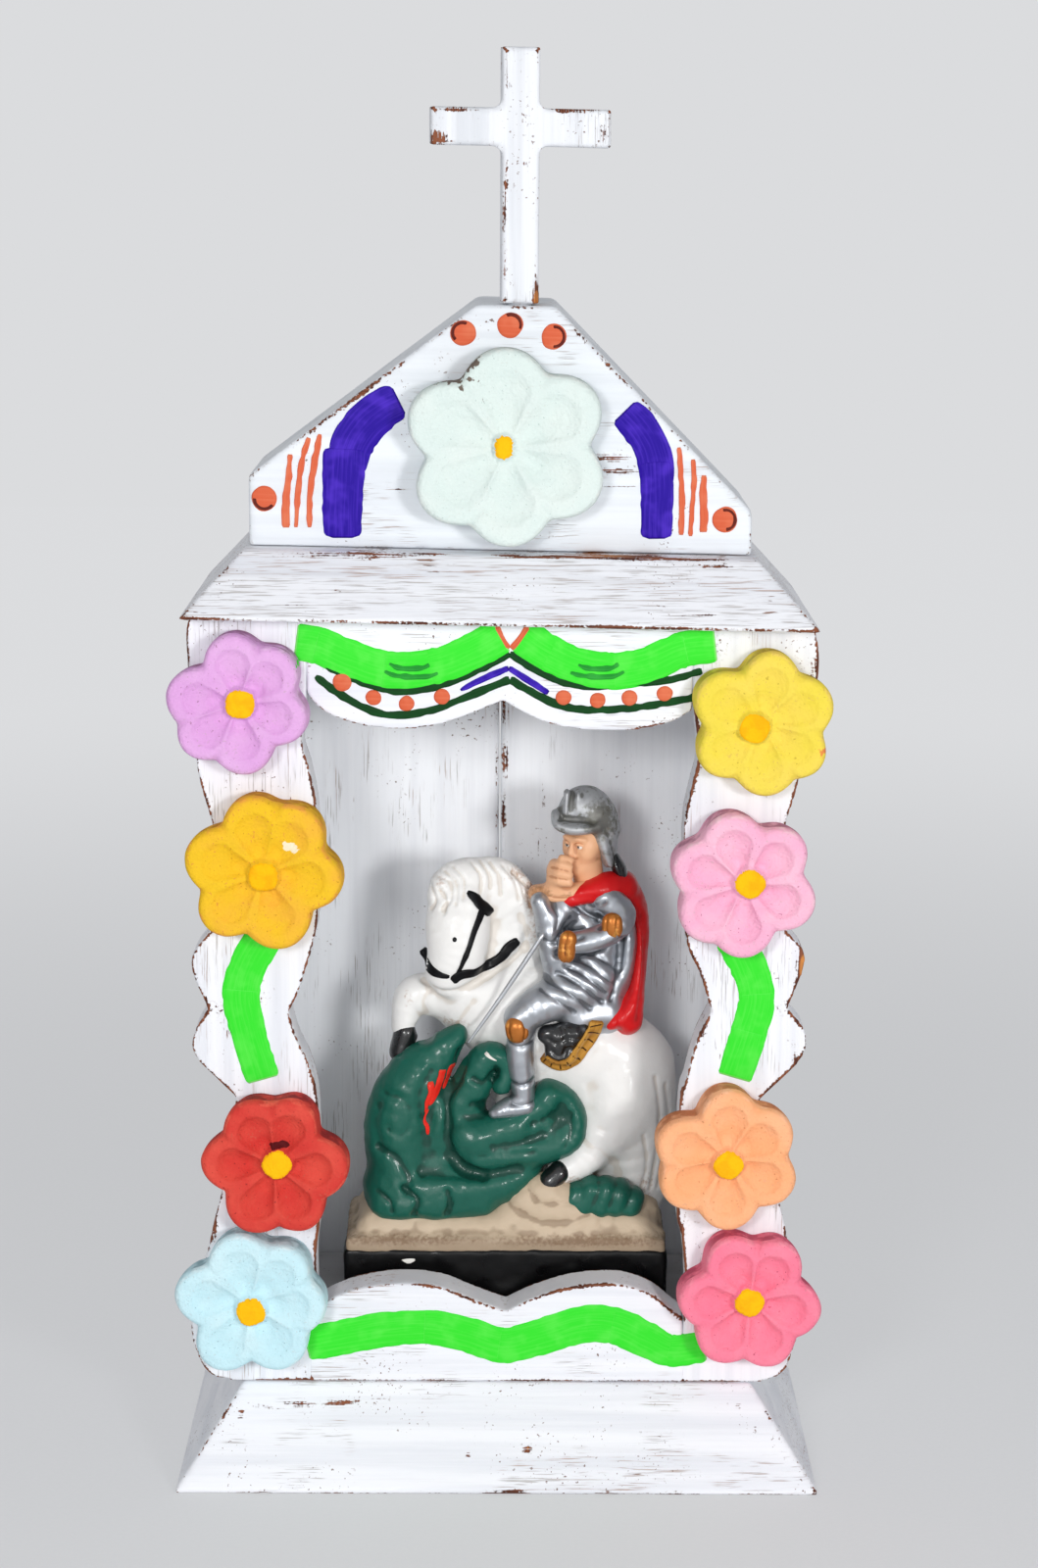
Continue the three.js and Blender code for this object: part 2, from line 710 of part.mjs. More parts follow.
function horseForms() {
  const barrel = limb([
    [-12, 2, 112, 15, 14],
    [6, 3, 106, 17, 16],
    [25, 4, 94, 20, 17],
    [40, 5, 81, 20, 16],
  ]);
  const haunch = limb([
    [40, 4, 84, 20, 15],
    [41, 4, 66, 19, 14],
    [43, 4, 50, 14, 12],
    [45, 4, 34, 11, 11],
  ]);
  const flank = limb([
    [2, 4, 104, 15, 12],
    [12, 5, 84, 20, 12],
    [22, 6, 62, 20, 11],
    [26, 6, 40, 16, 10],
  ]);
  const tail = limb([
    [54, 8, 86, 6, 7],
    [56, 9, 66, 6.5, 7],
    [55, 8, 46, 6, 7],
    [52, 7, 32, 6, 6],
  ]);
  const hindLeg = limb([
    [36, -3, 64, 9, 9],
    [29, -6, 55, 6, 7],
    [20, -8, 50, 5, 6],
  ]);
  const neck = limb([
    [-4, 3, 108, 18, 13],
    [-1, 2, 124, 17, 11],
    [-1, 1, 140, 14, 10],
    [-4, -1, 152, 11, 8],
  ]);
  const crest = limb([
    [-13, -1, 158, 5, 5],
    [-3, 0, 159, 6, 6],
    [6, 1, 153, 7, 6],
    [10, 2, 140, 6, 6],
  ]);
  const head = limb([
    [-14, -3, 154, 11, 8],
    [-18, -5, 140, 12.5, 9],
    [-18.5, -6, 128, 11, 8.5],
    [-18, -6, 116, 9, 7.5],
  ]);
  const foreleg = limb([
    [-16, 1, 110, 10, 9],
    [-28, 0, 110, 6.5, 7],
    [-36, -1, 107, 6, 6],
    [-37.5, -2, 98, 5, 5.5],
    [-38.5, -3, 90, 5.5, 6],
  ]);
  return [barrel, haunch, flank, tail, hindLeg, neck, crest, head, foreleg];
}

function dragonForms() {
  const throat = limb([
    [-40, -8, 38, 10, 11],
    [-39, -8, 56, 12, 12],
    [-36, -8, 72, 13, 12],
    [-30, -7, 86, 10, 10],
    [-22, -7, 97, 6, 7],
    [-17, -7, 103, 3.5, 5],
  ]);
  const neckLoop = limb([
    [-24, -8, 64, 11, 10],
    [-14, -10, 80, 8, 8],
    [-7, -11, 91, 6.5, 7],
    [2, -11, 95, 5.5, 6],
    [9, -10, 88, 5, 6],
  ]);
  const coil = limb([
    [-20, -10, 54, 11, 11],
    [-2, -11, 62, 11, 11],
    [14, -10, 69, 10, 10],
    [25, -9, 77, 6, 8],
  ]);
  const belly = limb([
    [-40, -9, 42, 12, 12],
    [-20, -11, 42, 12, 12],
    [0, -11, 48, 10, 11],
    [16, -10, 58, 8, 10],
  ]);
  const paw = limb([
    [-30, -12, 50, 7, 8],
    [-34, -16, 42, 6.5, 6],
    [-40, -17, 37, 6, 5],
  ]);
  const knuckle = egg(-4, -17, 70, 8, 6, 8);
  return [throat, neckLoop, coil, belly, paw, knuckle];
}

// The rider's head is a plain egg with a small nose, its features left to the painted face
function riderForms() {
  const torso = limb([
    [38, 2, 106, 12, 10],
    [35, 1, 120, 11, 9.5],
    [31, 0, 134, 13, 10],
    [30, 0, 146, 12, 9],
    [30, 1, 153, 8, 7],
  ]);
  const neck = limb([
    [30, 0, 152, 5.5, 5.5],
    [27, -1, 162, 5.5, 5.5],
  ]);
  const head = egg(25, -2, 169.5, 8, 8, 10.5, 0.12);
  const nose = limb([
    [19.5, -7, 171.5, 1.2, 1.2],
    [18.2, -8.6, 167.5, 1.6, 1.4],
  ], 6);
  const helmet = limb([
    [20, -2, 182, 7.5, 8.5],
    [28, -1, 184, 9, 9.5],
    [35, 0, 178, 7, 9],
    [38, 2, 168, 4, 7],
  ]);
  const visor = limb([
    [14.5, -3, 178.5, 2, 6],
    [20, -3, 179, 3.5, 8.5],
  ]);
  const cape = limb([
    [34, 5, 153, 9, 7],
    [43, 7, 143, 8.5, 9],
    [45, 7, 124, 7.5, 10],
    [44, 7, 104, 8, 10],
  ]);
  const nearArm = limb([
    [33, -7, 149, 6, 5.5],
    [37, -12, 140, 5.5, 5.5],
    [30, -15, 136, 5, 5],
    [20, -16, 136, 4.5, 5],
    [11, -15, 138, 4.5, 5],
  ]);
  const farArm = limb([
    [20, -5, 148, 5.5, 6],
    [12, -10, 143, 5.5, 5.5],
    [16, -13, 137, 5, 5],
  ]);
  const fist = limb([
    [22, -5, 162, 4, 4.5],
    [15, -6, 157, 4.5, 5],
    [8, -4, 153, 4.5, 5],
  ], 8);
  const skirt = limb([
    [33, -3, 124, 14, 9],
    [24, -6, 114, 13, 9],
  ]);
  const thigh = limb([
    [36, -8, 108, 9, 9],
    [20, -13, 108, 8, 8],
    [5, -14, 104, 6.5, 7],
  ]);
  const shin = limb([
    [5, -14, 102, 6, 6.5],
    [5, -14, 92, 5.5, 6.5],
    [6, -14, 81, 4.5, 5.5],
    [2, -15, 76.5, 4.5, 5],
    [-5, -16, 75, 3.2, 4.5],
  ]);
  const saddleCloth = limb([
    [12, -11, 98, 8, 5],
    [23, -12, 97, 11, 5.5],
    [33, -10, 104, 6, 5],
  ]);
  return [
    torso,
    neck,
    head,
    nose,
    helmet,
    visor,
    cape,
    nearArm,
    farArm,
    fist,
    skirt,
    thigh,
    shin,
    saddleCloth,
  ];
}

// Straight lance from the rider's hand down to the dragon
const LANCE_TOP = new THREE.Vector3(15, -16.5, 143).multiplyScalar(CAST_SCALE);
const LANCE_TIP = new THREE.Vector3(-13.6, -14.5, 99).multiplyScalar(CAST_SCALE);

function lanceRod(radius, extra) {
  const along = LANCE_TIP.clone().sub(LANCE_TOP);
  const rod = new THREE.CylinderGeometry(radius, radius, along.length() + 2 * extra, 8);
  const turn = new THREE.Quaternion().setFromUnitVectors(
    new THREE.Vector3(0, -1, 0),
    along.clone().normalize(),
  );
  rod.applyQuaternion(turn);
  const middle = LANCE_TOP.clone().add(LANCE_TIP).multiplyScalar(0.5);
  rod.translate(middle.x, middle.y, middle.z);
  return rod;
}

// The gap between the raised foreleg and the dragon's jaw is open right through
function forelegHole() {
  const x = -29.5 * CAST_SCALE;
  const z = 100.5 * CAST_SCALE;
  return pinAlongY(x, z, FORELEG_HOLE_RADIUS, -BASE_DEPTH, BASE_DEPTH, 12);
}

function figurine() {
  const cast = join([...groundForms(), ...horseForms(), ...dragonForms(), ...riderForms()]);
  const finished = cut(cast, [forelegHole(), lanceRod(LANCE_RADIUS + FIT_GAP, FIT_GAP)]);
  const group = new THREE.Group();
  group.add(part("figurine", finished, PLASTER_PAINT, 0.4));
  group.add(part("lance", lanceRod(LANCE_RADIUS, 0), SILVER_PAINT, 0.35, 0.8));
  group.position.copy(BASE_AT);
  return group;
}

const shrine = new THREE.Group();
shrine.add(plinth(), floorBoard(), ceilingBoard());
shrine.add(sideBoard("side_board_left", -1), sideBoard("side_board_right", 1));
shrine.add(backBoard("back_board_left", -1), backBoard("back_board_right", 1));
nailHeights().forEach((z, i) => {
  shrine.add(backNail(`back_nail_left_${i + 1}`, -1, z));
  shrine.add(backNail(`back_nail_right_${i + 1}`, 1, z));
});
shrine.add(stile("stile_left", -1), stile("stile_right", 1), rail(), valance());
shrine.add(cornice(), pediment(), crossUpright(), crossArm());
shrine.add(...flowers());
shrine.add(figurine());

export default shrine;
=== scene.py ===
"""Looks of a small wooden chapel shrine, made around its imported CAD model.

Shapes are worked out in millimetres and become metres when a mesh is made. The front looks
towards -Y, +Z is up, and every piece rides on the body that carries it.
"""

from __future__ import annotations

import logging
import math
from dataclasses import dataclass, field
from enum import Enum
from typing import Callable, Sequence

import bpy
import numpy as np
from mathutils import Matrix, Vector
from mathutils.bvhtree import BVHTree


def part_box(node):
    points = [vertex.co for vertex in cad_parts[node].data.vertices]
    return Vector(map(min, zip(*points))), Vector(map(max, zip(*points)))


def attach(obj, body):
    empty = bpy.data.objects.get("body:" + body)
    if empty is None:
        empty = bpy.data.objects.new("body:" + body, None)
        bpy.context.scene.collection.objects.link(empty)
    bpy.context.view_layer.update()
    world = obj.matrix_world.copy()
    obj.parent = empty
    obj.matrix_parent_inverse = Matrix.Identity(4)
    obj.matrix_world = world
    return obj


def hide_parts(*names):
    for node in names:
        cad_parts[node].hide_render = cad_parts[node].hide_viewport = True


MM = 0.001
LOG = logging.getLogger("shrine")

# Rows of X and Z, or of X, Y, Z, half width and half depth for the limbs of the cast.
Points = Sequence[Sequence[float]]
# Gives a surface's Y at an X and Z.
Heights = Callable[[float, float], float]
# X, Z, half width, half height and strength of each spot.
Spots = tuple[tuple[float, float, float, float, float], ...]
# X, Y, Z, half width and half depth.
Station = tuple[float, float, float, float, float]
# A middle line and the width at its points, one row for each stroke.
Brushed = tuple[tuple[Points, Sequence[float]], ...]


class Body(Enum):
    """The two bodies of the model."""

    SHRINE = "shrine"
    FIGURINE = "figurine"


class Grain(Enum):
    """Way that the wood grain and the brush strokes run."""

    ACROSS = 0
    DEEP = 1
    UPRIGHT = 2


def tint(code: int) -> tuple[float, float, float, float]:
    """Gives the linear colour of a screen colour.

    Args:
        code: the colour as 0xRRGGBB.

    Returns:
        Red, green, blue and alpha for a shader socket.
    """
    parts = [(code >> shift & 255) / 255 for shift in (16, 8, 0)]
    red, green, blue = (c / 12.92 if c < 0.04045 else ((c + 0.055) / 1.055) ** 2.4 for c in parts)
    return red, green, blue, 1.0


class Shader:
    """Node tree of one material, with short methods for the steps that finishes share."""

    def __init__(self, name: str) -> None:
        """Starts a material with a Principled surface.

        Args:
            name: the material's name.
        """
        self.material = bpy.data.materials.new(name)
        self.material.use_nodes = True
        self.tree = self.material.node_tree
        self.surface = self.tree.nodes["Principled BSDF"]
        self.place = self.tree.nodes.new("ShaderNodeTexCoord").outputs["Object"]

    def node(self, kind: str, **settings: object) -> bpy.types.Node:
        """Adds a node and sets its properties."""
        node = self.tree.nodes.new(kind)
        for key, value in settings.items():
            setattr(node, key, value)
        return node

    def feed(self, socket: bpy.types.NodeSocket, value: object) -> None:
        """Links a socket, or sets it where the value is plain."""
        if isinstance(value, bpy.types.NodeSocket):
            self.tree.links.new(value, socket)
        else:
            socket.default_value = value

    def along(self, grain: Grain, fine: float, long: float) -> bpy.types.NodeSocket:
        """Scales the coordinates so that noise becomes streaks along the grain.

        Args:
            grain: way of the streaks.
            fine: streaks per metre across the grain, a fifth of it front to back.
            long: streaks per metre along it.

        Returns:
            The scaled coordinates.
        """
        scale = [fine, fine / 5, fine]
        scale[grain.value] = long
        node = self.node("ShaderNodeMapping")
        self.feed(node.inputs["Vector"], self.place)
        node.inputs["Scale"].default_value = scale
        return node.outputs["Vector"]

    def noise(
        self, where: object, scale: float = 1.0, detail: float = 3.0, warp: float = 0.0
    ) -> bpy.types.NodeSocket:
        """Adds a noise texture.

        Args:
            where: coordinates.
            scale: features per unit of the coordinates.
            detail: octaves.
            warp: distortion.

        Returns:
            The noise value from 0 to 1.
        """
        node = self.node("ShaderNodeTexNoise")
        self.feed(node.inputs["Vector"], where)
        node.inputs["Scale"].default_value = scale
        node.inputs["Detail"].default_value = detail
        node.inputs["Distortion"].default_value = warp
        return node.outputs["Fac"]

    def ramp(
        self, value: object, low: float, high: float, top: float = 1.0
    ) -> bpy.types.NodeSocket:
        """Maps a value to a soft step.

        Args:
            value: what is mapped.
            low: where the step starts.
            high: where it is full.
            top: the full value.

        Returns:
            A value from 0 to top.
        """
        node = self.node("ShaderNodeMapRange", interpolation_type="SMOOTHSTEP")
        self.feed(node.inputs["Value"], value)
        node.inputs["From Min"].default_value = low
        node.inputs["From Max"].default_value = high
        node.inputs["To Max"].default_value = top
        return node.outputs["Result"]

    def math(self, step: str, first: object, second: object = 0.0) -> bpy.types.NodeSocket:
        """Adds a math node, such as MULTIPLY or ADD."""
        node = self.node("ShaderNodeMath", operation=step)
        self.feed(node.inputs[0], first)
        self.feed(node.inputs[1], second)
        return node.outputs[0]

    def both(self, first: object, second: object) -> bpy.types.NodeSocket:
        """Multiplies two masks."""
        return self.math("MULTIPLY", first, second)

    def stirred(self, value: object, noise: object, amount: float) -> bpy.types.NodeSocket:
        """Adds noise to a value, so that what is cut from it gets a ragged outline.

        Args:
            value: the value.
            noise: noise around one half.
            amount: how much of it is added.

        Returns:
            The stirred value.
        """
        swing = self.math("MULTIPLY", self.math("SUBTRACT", noise, 0.5), amount)
        return self.math("ADD", value, swing)

    def blend(self, amount: object, first: object, second: object) -> bpy.types.NodeSocket:
        """Blends two colours, given as 0xRRGGBB or sockets.

        Args:
            amount: share of the second colour.
            first: colour at 0.
            second: colour at 1.

        Returns:
            The blended colour.
        """
        node = self.node("ShaderNodeMix", data_type="RGBA")
        self.feed(node.inputs[0], amount)
        self.feed(node.inputs[6], tint(first) if isinstance(first, int) else first)
        self.feed(node.inputs[7], tint(second) if isinstance(second, int) else second)
        return node.outputs[2]

    def mark(self, name: str) -> bpy.types.NodeSocket:
        """Reads a named value from the mesh."""
        return self.node("ShaderNodeAttribute", attribute_name=name).outputs["Fac"]

    def upward(self) -> bpy.types.NodeSocket:
        """Gives how far the surface looks up, from -1 to 1."""
        split = self.node("ShaderNodeSeparateXYZ")
        self.feed(split.inputs[0], self.node("ShaderNodeNewGeometry").outputs["Normal"])
        return split.outputs["Z"]

    def relief(self, height: object, depth: float, after: object = None) -> bpy.types.NodeSocket:
        """Turns a height into a bumped normal.

        Args:
            height: the height, 0 to 1.
            depth: millimetres for a height of 1.
            after: a normal that is already bumped.

        Returns:
            The new normal.
        """
        node = self.node("ShaderNodeBump")
        node.inputs["Distance"].default_value = depth * MM
        self.feed(node.inputs["Height"], height)
        if after is not None:
            self.feed(node.inputs["Normal"], after)
        return node.outputs["Normal"]

    def finish(self, **sockets: object) -> bpy.types.Material:
        """Sets or links the surface's sockets, named with underscores for spaces.

        Args:
            sockets: values or sockets by name.

        Returns:
            The material.
        """
        for name, value in sockets.items():
            self.feed(self.surface.inputs[name.replace("_", " ")], value)
        return self.material


@dataclass(frozen=True)
class PaintedWood:
    """White paint brushed on brown wood, thin along the grain and rubbed off at the edges."""

    name: str
    grain: Grain
    paint: int = 0xF0F1F5
    shade: int = 0xE2E4EA
    streaks: float = 0.5
    specks: float = 0.5
    bare: float = 0.5

    def material(self) -> bpy.types.Material:
        """Makes the material."""
        s = Shader(self.name)
        brush = s.noise(s.along(self.grain, 150, 6), detail=5)
        hairs = s.noise(s.along(self.grain, 800, 15), detail=3)
        fibres = s.noise(s.along(self.grain, 1500, 110), detail=3, warp=0.2)
        hairline = s.noise(s.along(self.grain, 2600, 70), detail=3, warp=0.2)
        patches = s.noise(s.along(self.grain, 60, 30), detail=3)
        colour = s.blend(s.ramp(brush, 0.4, 0.66), self.paint, self.shade)
        colour = s.blend(s.ramp(hairs, 0.5, 0.7, 0.14 * self.streaks), colour, 0xB4B0AE)
        sparse = 0.6 - 0.2 * self.streaks
        hair = s.ramp(hairline, 0.6 - 0.06 * self.streaks, 0.66, 0.6)
        thin = s.both(hair, s.ramp(patches, sparse, sparse + 0.1))
        colour = s.blend(thin, colour, s.blend(s.ramp(brush, 0.45, 0.6), 0x9F9791, 0xA87C62))
        torn_places = s.noise(s.along(self.grain, 70, 30), detail=3)
        sparse = 0.72 - 0.12 * self.streaks
        torn = s.both(s.ramp(fibres, 0.62, 0.66, 0.9), s.ramp(torn_places, sparse, sparse + 0.05))
        sparse = 0.68 - 0.25 * self.specks
        grit = s.both(
            s.ramp(s.noise(s.place, 850, detail=2), 0.66, 0.7, 0.9),
            s.ramp(s.noise(s.place, 45, detail=2), sparse, sparse + 0.12),
        )
        edge = s.stirred(s.mark("wear"), s.noise(s.place, 60, detail=5), 2.0)
        edge = s.stirred(edge, s.noise(s.place, 900, detail=4), 1.5)
        edge = s.math("ADD", edge, s.both(s.mark("bald"), s.stirred(1.0, hairline, 3.5)))
        line = 1.25 - 0.5 * self.bare
        grainy = s.ramp(s.noise(s.along(self.grain, 900, 60), detail=4), 0.4, 0.62)
        dark = s.blend(grainy, 0x8A5136, 0x50291C)
        fresh = s.blend(grainy, 0xC98240, 0x9A5A2C)
        wood = s.blend(s.ramp(s.mark("bald"), 1.15, 1.35), dark, fresh)
        colour = s.blend(s.ramp(edge, line - 0.2, line, 0.3), colour, 0xC2B8B2)
        colour = s.blend(grit, colour, 0x6B4A3A)
        colour = s.blend(torn, colour, 0x8C6048)
        bare = s.ramp(edge, line, line + 0.06)
        colour = s.blend(bare, colour, wood)
        lost = s.math("MAXIMUM", torn, bare)
        skin = s.math("SUBTRACT", s.math("MULTIPLY", hairs, 0.5), lost)
        bump = s.relief(s.math("SUBTRACT", skin, s.math("MULTIPLY", thin, 0.5)), 0.25)
        return s.finish(
            Base_Color=colour,
            Roughness=s.math("ADD", s.math("MULTIPLY", lost, 0.25), 0.55),
            Specular_IOR_Level=0.35,
            Normal=bump,
        )


@dataclass(frozen=True)
class BrushPaint:
    """Ornament paint laid on with a flat brush, with streaks along each stroke."""

    name: str
    colour: int
    thin: int
    rough: float = 0.5
    end: int | None = None

    def material(self) -> bpy.types.Material:
        """Makes the material."""
        s = Shader(self.name)
        both = s.node("ShaderNodeCombineXYZ")
        s.feed(both.inputs[0], s.math("MULTIPLY", s.mark("along"), 0.05))
        s.feed(both.inputs[1], s.math("MULTIPLY", s.mark("across"), 1.1))
        bristles = s.noise(both.outputs[0], 1.0, detail=4)
        pools = s.noise(s.place, 130, detail=2)
        colour = s.blend(s.ramp(bristles, 0.42, 0.72, 0.4), self.colour, self.thin)
        colour = s.blend(s.ramp(pools, 0.45, 0.7, 0.5), colour, self.thin)
        end = self.thin if self.end is None else self.end
        colour = s.blend(s.ramp(s.mark("tip"), 0.3, 0.8, 0.6), colour, end)
        bump = s.relief(bristles, 0.05)
        return s.finish(
            Base_Color=colour, Roughness=self.rough, Specular_IOR_Level=0.12, Normal=bump
        )


@dataclass(frozen=True)
class ChalkPaint:
    """Matt paint on modelled clay, pitted, rubbed at the rim, with painted shade in its scoops and
    creases and on the walls that face up.
    """

    name: str
    colour: int
    # The grime colour marks real pits and dents, and also serves as painted shade in the scoops,
    # creases and upward walls.
    grime: int
    rub: int
    smudge: int = 0xFFFFFF

    def material(self) -> bpy.types.Material:
        """Makes the material."""
        s = Shader(self.name)
        mottle = s.noise(s.place, 75, detail=3)
        pits = s.noise(s.place, 1000, detail=2)
        scars = s.noise(s.place, 210, detail=5)
        colour = s.blend(s.ramp(mottle, 0.35, 0.75, 0.4), self.colour, self.rub)
        # Painted shade: the scoops and creases, held in the hollow mark, are darkened towards the
        # grime colour.
        colour = s.blend(s.ramp(s.mark("hollow"), 0.1, 1.0, 0.16), colour, self.grime)
        rim = s.both(s.ramp(s.mark("rim"), 0.3, 0.9), s.ramp(scars, 0.48, 0.62, 0.7))
        colour = s.blend(rim, colour, self.rub)
        colour = s.blend(s.ramp(pits, 0.68, 0.73, 0.7), colour, self.grime)
        dents = s.both(s.ramp(pits, 0.37, 0.33), s.ramp(scars, 0.45, 0.6, 0.9))
        colour = s.blend(dents, colour, s.blend(0.4, self.rub, self.grime))
        # Painted shade: walls that face up are darkened towards the grime colour, as if in shadow.
        shade_on_upper_walls = s.both(s.ramp(s.upward(), 0.1, 0.9, 0.85), s.ramp(s.mark("wall"), 0.3, 0.8))
        colour = s.blend(s.both(shade_on_upper_walls, s.ramp(scars, 0.3, 0.58)), colour, self.grime)
        spot = s.mark("smudge")
        smudge = s.both(s.ramp(spot, 0.04, 0.1), s.ramp(s.stirred(spot, scars, 2.6), 0.66, 0.74))
        colour = s.blend(smudge, colour, self.smudge)
        boss = s.ramp(s.mark("boss"), 0.45, 0.55)
        yellow = s.blend(s.ramp(scars, 0.45, 0.7, 0.4), 0xFDBE02, 0xF39A00)
        colour = s.blend(boss, colour, yellow)
        bump = s.relief(s.noise(s.place, 900, detail=4), 0.45)
        bump = s.relief(scars, 0.5, bump)
        return s.finish(Base_Color=colour, Roughness=0.8, Specular_IOR_Level=0.2, Normal=bump)


@dataclass(frozen=True)
class CastPaint:
    """Paint on the cast plaster: one colour, a second in the hollows, and some gloss or metal."""

    name: str
    colour: int
    hollow: int
    rough: float = 0.3
    metal: float = 0.0
    coat: float = 0.0
    patchy: int | None = None
    hollow_tint: float = 0.6
    grain: float = 0.12
    chips: float = 0.5
    gloss: float = 0.5
    smear: int = 0x9C6C42

    def material(self) -> bpy.types.Material:
        """Makes the material."""
        s = Shader(self.name)
        cloud = s.noise(s.place, 110, detail=3)
        fine = s.noise(s.place, 850, detail=4)
        # Darkens the hollows and the foot towards the second colour.
        deep = s.ramp(s.stirred(s.mark("hollow"), cloud, 0.9), 0.1, 0.9, self.hollow_tint)
        colour = s.blend(deep, self.colour, self.hollow)
        if self.patchy is not None:
            flecks = s.ramp(s.noise(s.place, 420, detail=5), 0.52, 0.62)
            colour = s.blend(s.both(flecks, s.ramp(cloud, 0.35, 0.6)), colour, self.patchy)
        chips = s.both(s.ramp(fine, 0.7, 0.73), s.ramp(cloud, 0.5, 0.65))
        colour = s.blend(s.both(chips, self.chips), colour, self.hollow)
        smear = s.ramp(s.stirred(s.mark("grime"), fine, 1.2), 0.3, 0.9, 0.8)
        colour = s.blend(smear, colour, self.smear)
        bump = s.relief(s.noise(s.place, 260, detail=3), self.grain)
        bump = s.relief(fine, 0.3 * self.grain, bump)
        return s.finish(
            Base_Color=colour,
            Roughness=s.math("ADD", s.ramp(cloud, 0.3, 0.7, 0.12), self.rough),
            Metallic=self.metal,
            Coat_Weight=self.coat,
            Coat_Roughness=0.12,
            Specular_IOR_Level=self.gloss,
            Normal=bump,
        )


@dataclass(frozen=True)
class DullSteel:
    """Wire-nail steel with a little rust."""

    name: str = "dull_steel"

    def material(self) -> bpy.types.Material:
        """Makes the material."""
        s = Shader(self.name)
        rust = s.ramp(s.noise(s.place, 900, detail=4), 0.5, 0.65)
        colour = s.blend(rust, 0x8F8C88, 0x6A4330)
        bump = s.relief(s.noise(s.place, 1500, detail=3), 0.1)
        rough = s.ramp(rust, -1, 1, 0.7)
        return s.finish(Base_Color=colour, Metallic=0.75, Roughness=rough, Normal=bump)


@dataclass(frozen=True)
class StudioPaper:
    """Plain pale paper of the floor, which runs evenly into the pale ground behind it."""

    name: str = "studio_paper"
    colour: int = 0xDCDDDF

    def material(self) -> bpy.types.Material:
        """Makes the material."""
        s = Shader(self.name)
        tooth = s.noise(s.place, 600, detail=2)
        colour = s.blend(s.ramp(tooth, 0.3, 0.7, 0.2), self.colour, 0xD6D7DA)
        s.finish(Base_Color=colour, Roughness=0.85)
        glow = s.node("ShaderNodeEmission")
        s.feed(glow.inputs["Color"], colour)
        away = s.node("ShaderNodeVectorMath", operation="LENGTH")
        s.feed(away.inputs[0], s.place)
        share = s.math("ADD", s.ramp(away.outputs["Value"], 0.35, 1.6, 0.42), 0.58)
        mix = s.node("ShaderNodeMixShader")
        s.feed(mix.inputs[0], s.both(share, seen_rays(s.tree)))
        s.feed(mix.inputs[1], s.surface.outputs[0])
        s.feed(mix.inputs[2], glow.outputs[0])
        s.feed(s.tree.nodes["Material Output"].inputs["Surface"], mix.outputs[0])
        return s.material


def seen_rays(tree: bpy.types.NodeTree) -> bpy.types.NodeSocket:
    """Gives 1 for rays from the camera, a gloss or a clear body, and 0 for light.

    Args:
        tree: tree of a material or of the world.

    Returns:
        The mask.
    """
    path = tree.nodes.new("ShaderNodeLightPath")
    mask = path.outputs["Is Camera Ray"]
    for kind in ("Is Glossy Ray", "Is Transmission Ray"):
        larger = tree.nodes.new("ShaderNodeMath")
        larger.operation = "MAXIMUM"
        tree.links.new(mask, larger.inputs[0])
        tree.links.new(path.outputs[kind], larger.inputs[1])
        mask = larger.outputs[0]
    return mask


def lumps(points: np.ndarray, size: float, seed: int) -> np.ndarray:
    """Smooth value noise, the same in each run.

    Args:
        points: places, in millimetres.
        size: millimetres from lump to lump.
        seed: picks one pattern.

    Returns:
        A value from -1 to 1 for each point.
    """
    place = points / size + seed * 17.31
    cell = np.floor(place).astype(np.int64)
    part = place - cell
    part = part * part * (3 - 2 * part)
    total = np.zeros(len(points))
    for corner in np.ndindex(2, 2, 2):
        code = (cell + corner) @ np.array([73856093, 19349663, 83492791]) & 0xFFFFFFFF
        code = (code ^ (code >> 13)) * 1274126177 & 0xFFFFFFFF
        code ^= code >> 16
        weight = np.prod(np.where(corner, part, 1 - part), axis=1)
        total += weight * (code / 0xFFFFFFFF * 2 - 1)
    return total


def smooth_line(points: Points, steps: int = 6) -> np.ndarray:
    """Runs a Catmull-Rom curve through points.

    Args:
        points: points with any number of values each.
        steps: pieces between two points.

    Returns:
        The curve's points.
    """
    p = np.asarray(points, float)
    p = np.vstack([2 * p[0] - p[1], p, 2 * p[-1] - p[-2]])
    t = np.arange(steps)[:, None] / steps
    curve = []
    for a, b, c, d in zip(p, p[1:], p[2:], p[3:]):
        square = (2 * a - 5 * b + 4 * c - d) * t**2
        cube = (3 * b - a - 3 * c + d) * t**3
        curve.append(0.5 * (2 * b + (c - a) * t + square + cube))
    return np.vstack([*curve, p[-2:-1]])


def far_from(points: np.ndarray, line: np.ndarray) -> np.ndarray:
    """Distance in the front view from each point to a line of X and Z values.

    Args:
        points: points as X and Z, or X, Y and Z.
        line: the line's points.

    Returns:
        The distances.
    """
    p = points[:, [0, -1]]
    nearest = np.full(len(p), np.inf)
    for a, b in zip(line[:-1], line[1:]):
        way = b - a
        t = np.clip(((p - a) @ way) / max(way @ way, 1e-9), 0, 1)
        nearest = np.minimum(nearest, np.linalg.norm(p - a - t[:, None] * way, axis=1))
    return nearest


def spotted(points: np.ndarray, spots: Spots) -> np.ndarray:
    """Gives soft round spots in the front view.

    Args:
        points: places, in millimetres.
        spots: X, Z, half width, half height and strength of each spot.

    Returns:
        The strongest spot's value at each point.
    """
    value = np.zeros(len(points))
    for x, z, wide, high, amount in spots:
        off = ((points[:, 0] - x) / wide) ** 2 + ((points[:, 2] - z) / high) ** 2
        value = np.maximum(value, amount * np.exp(-off))
    return value


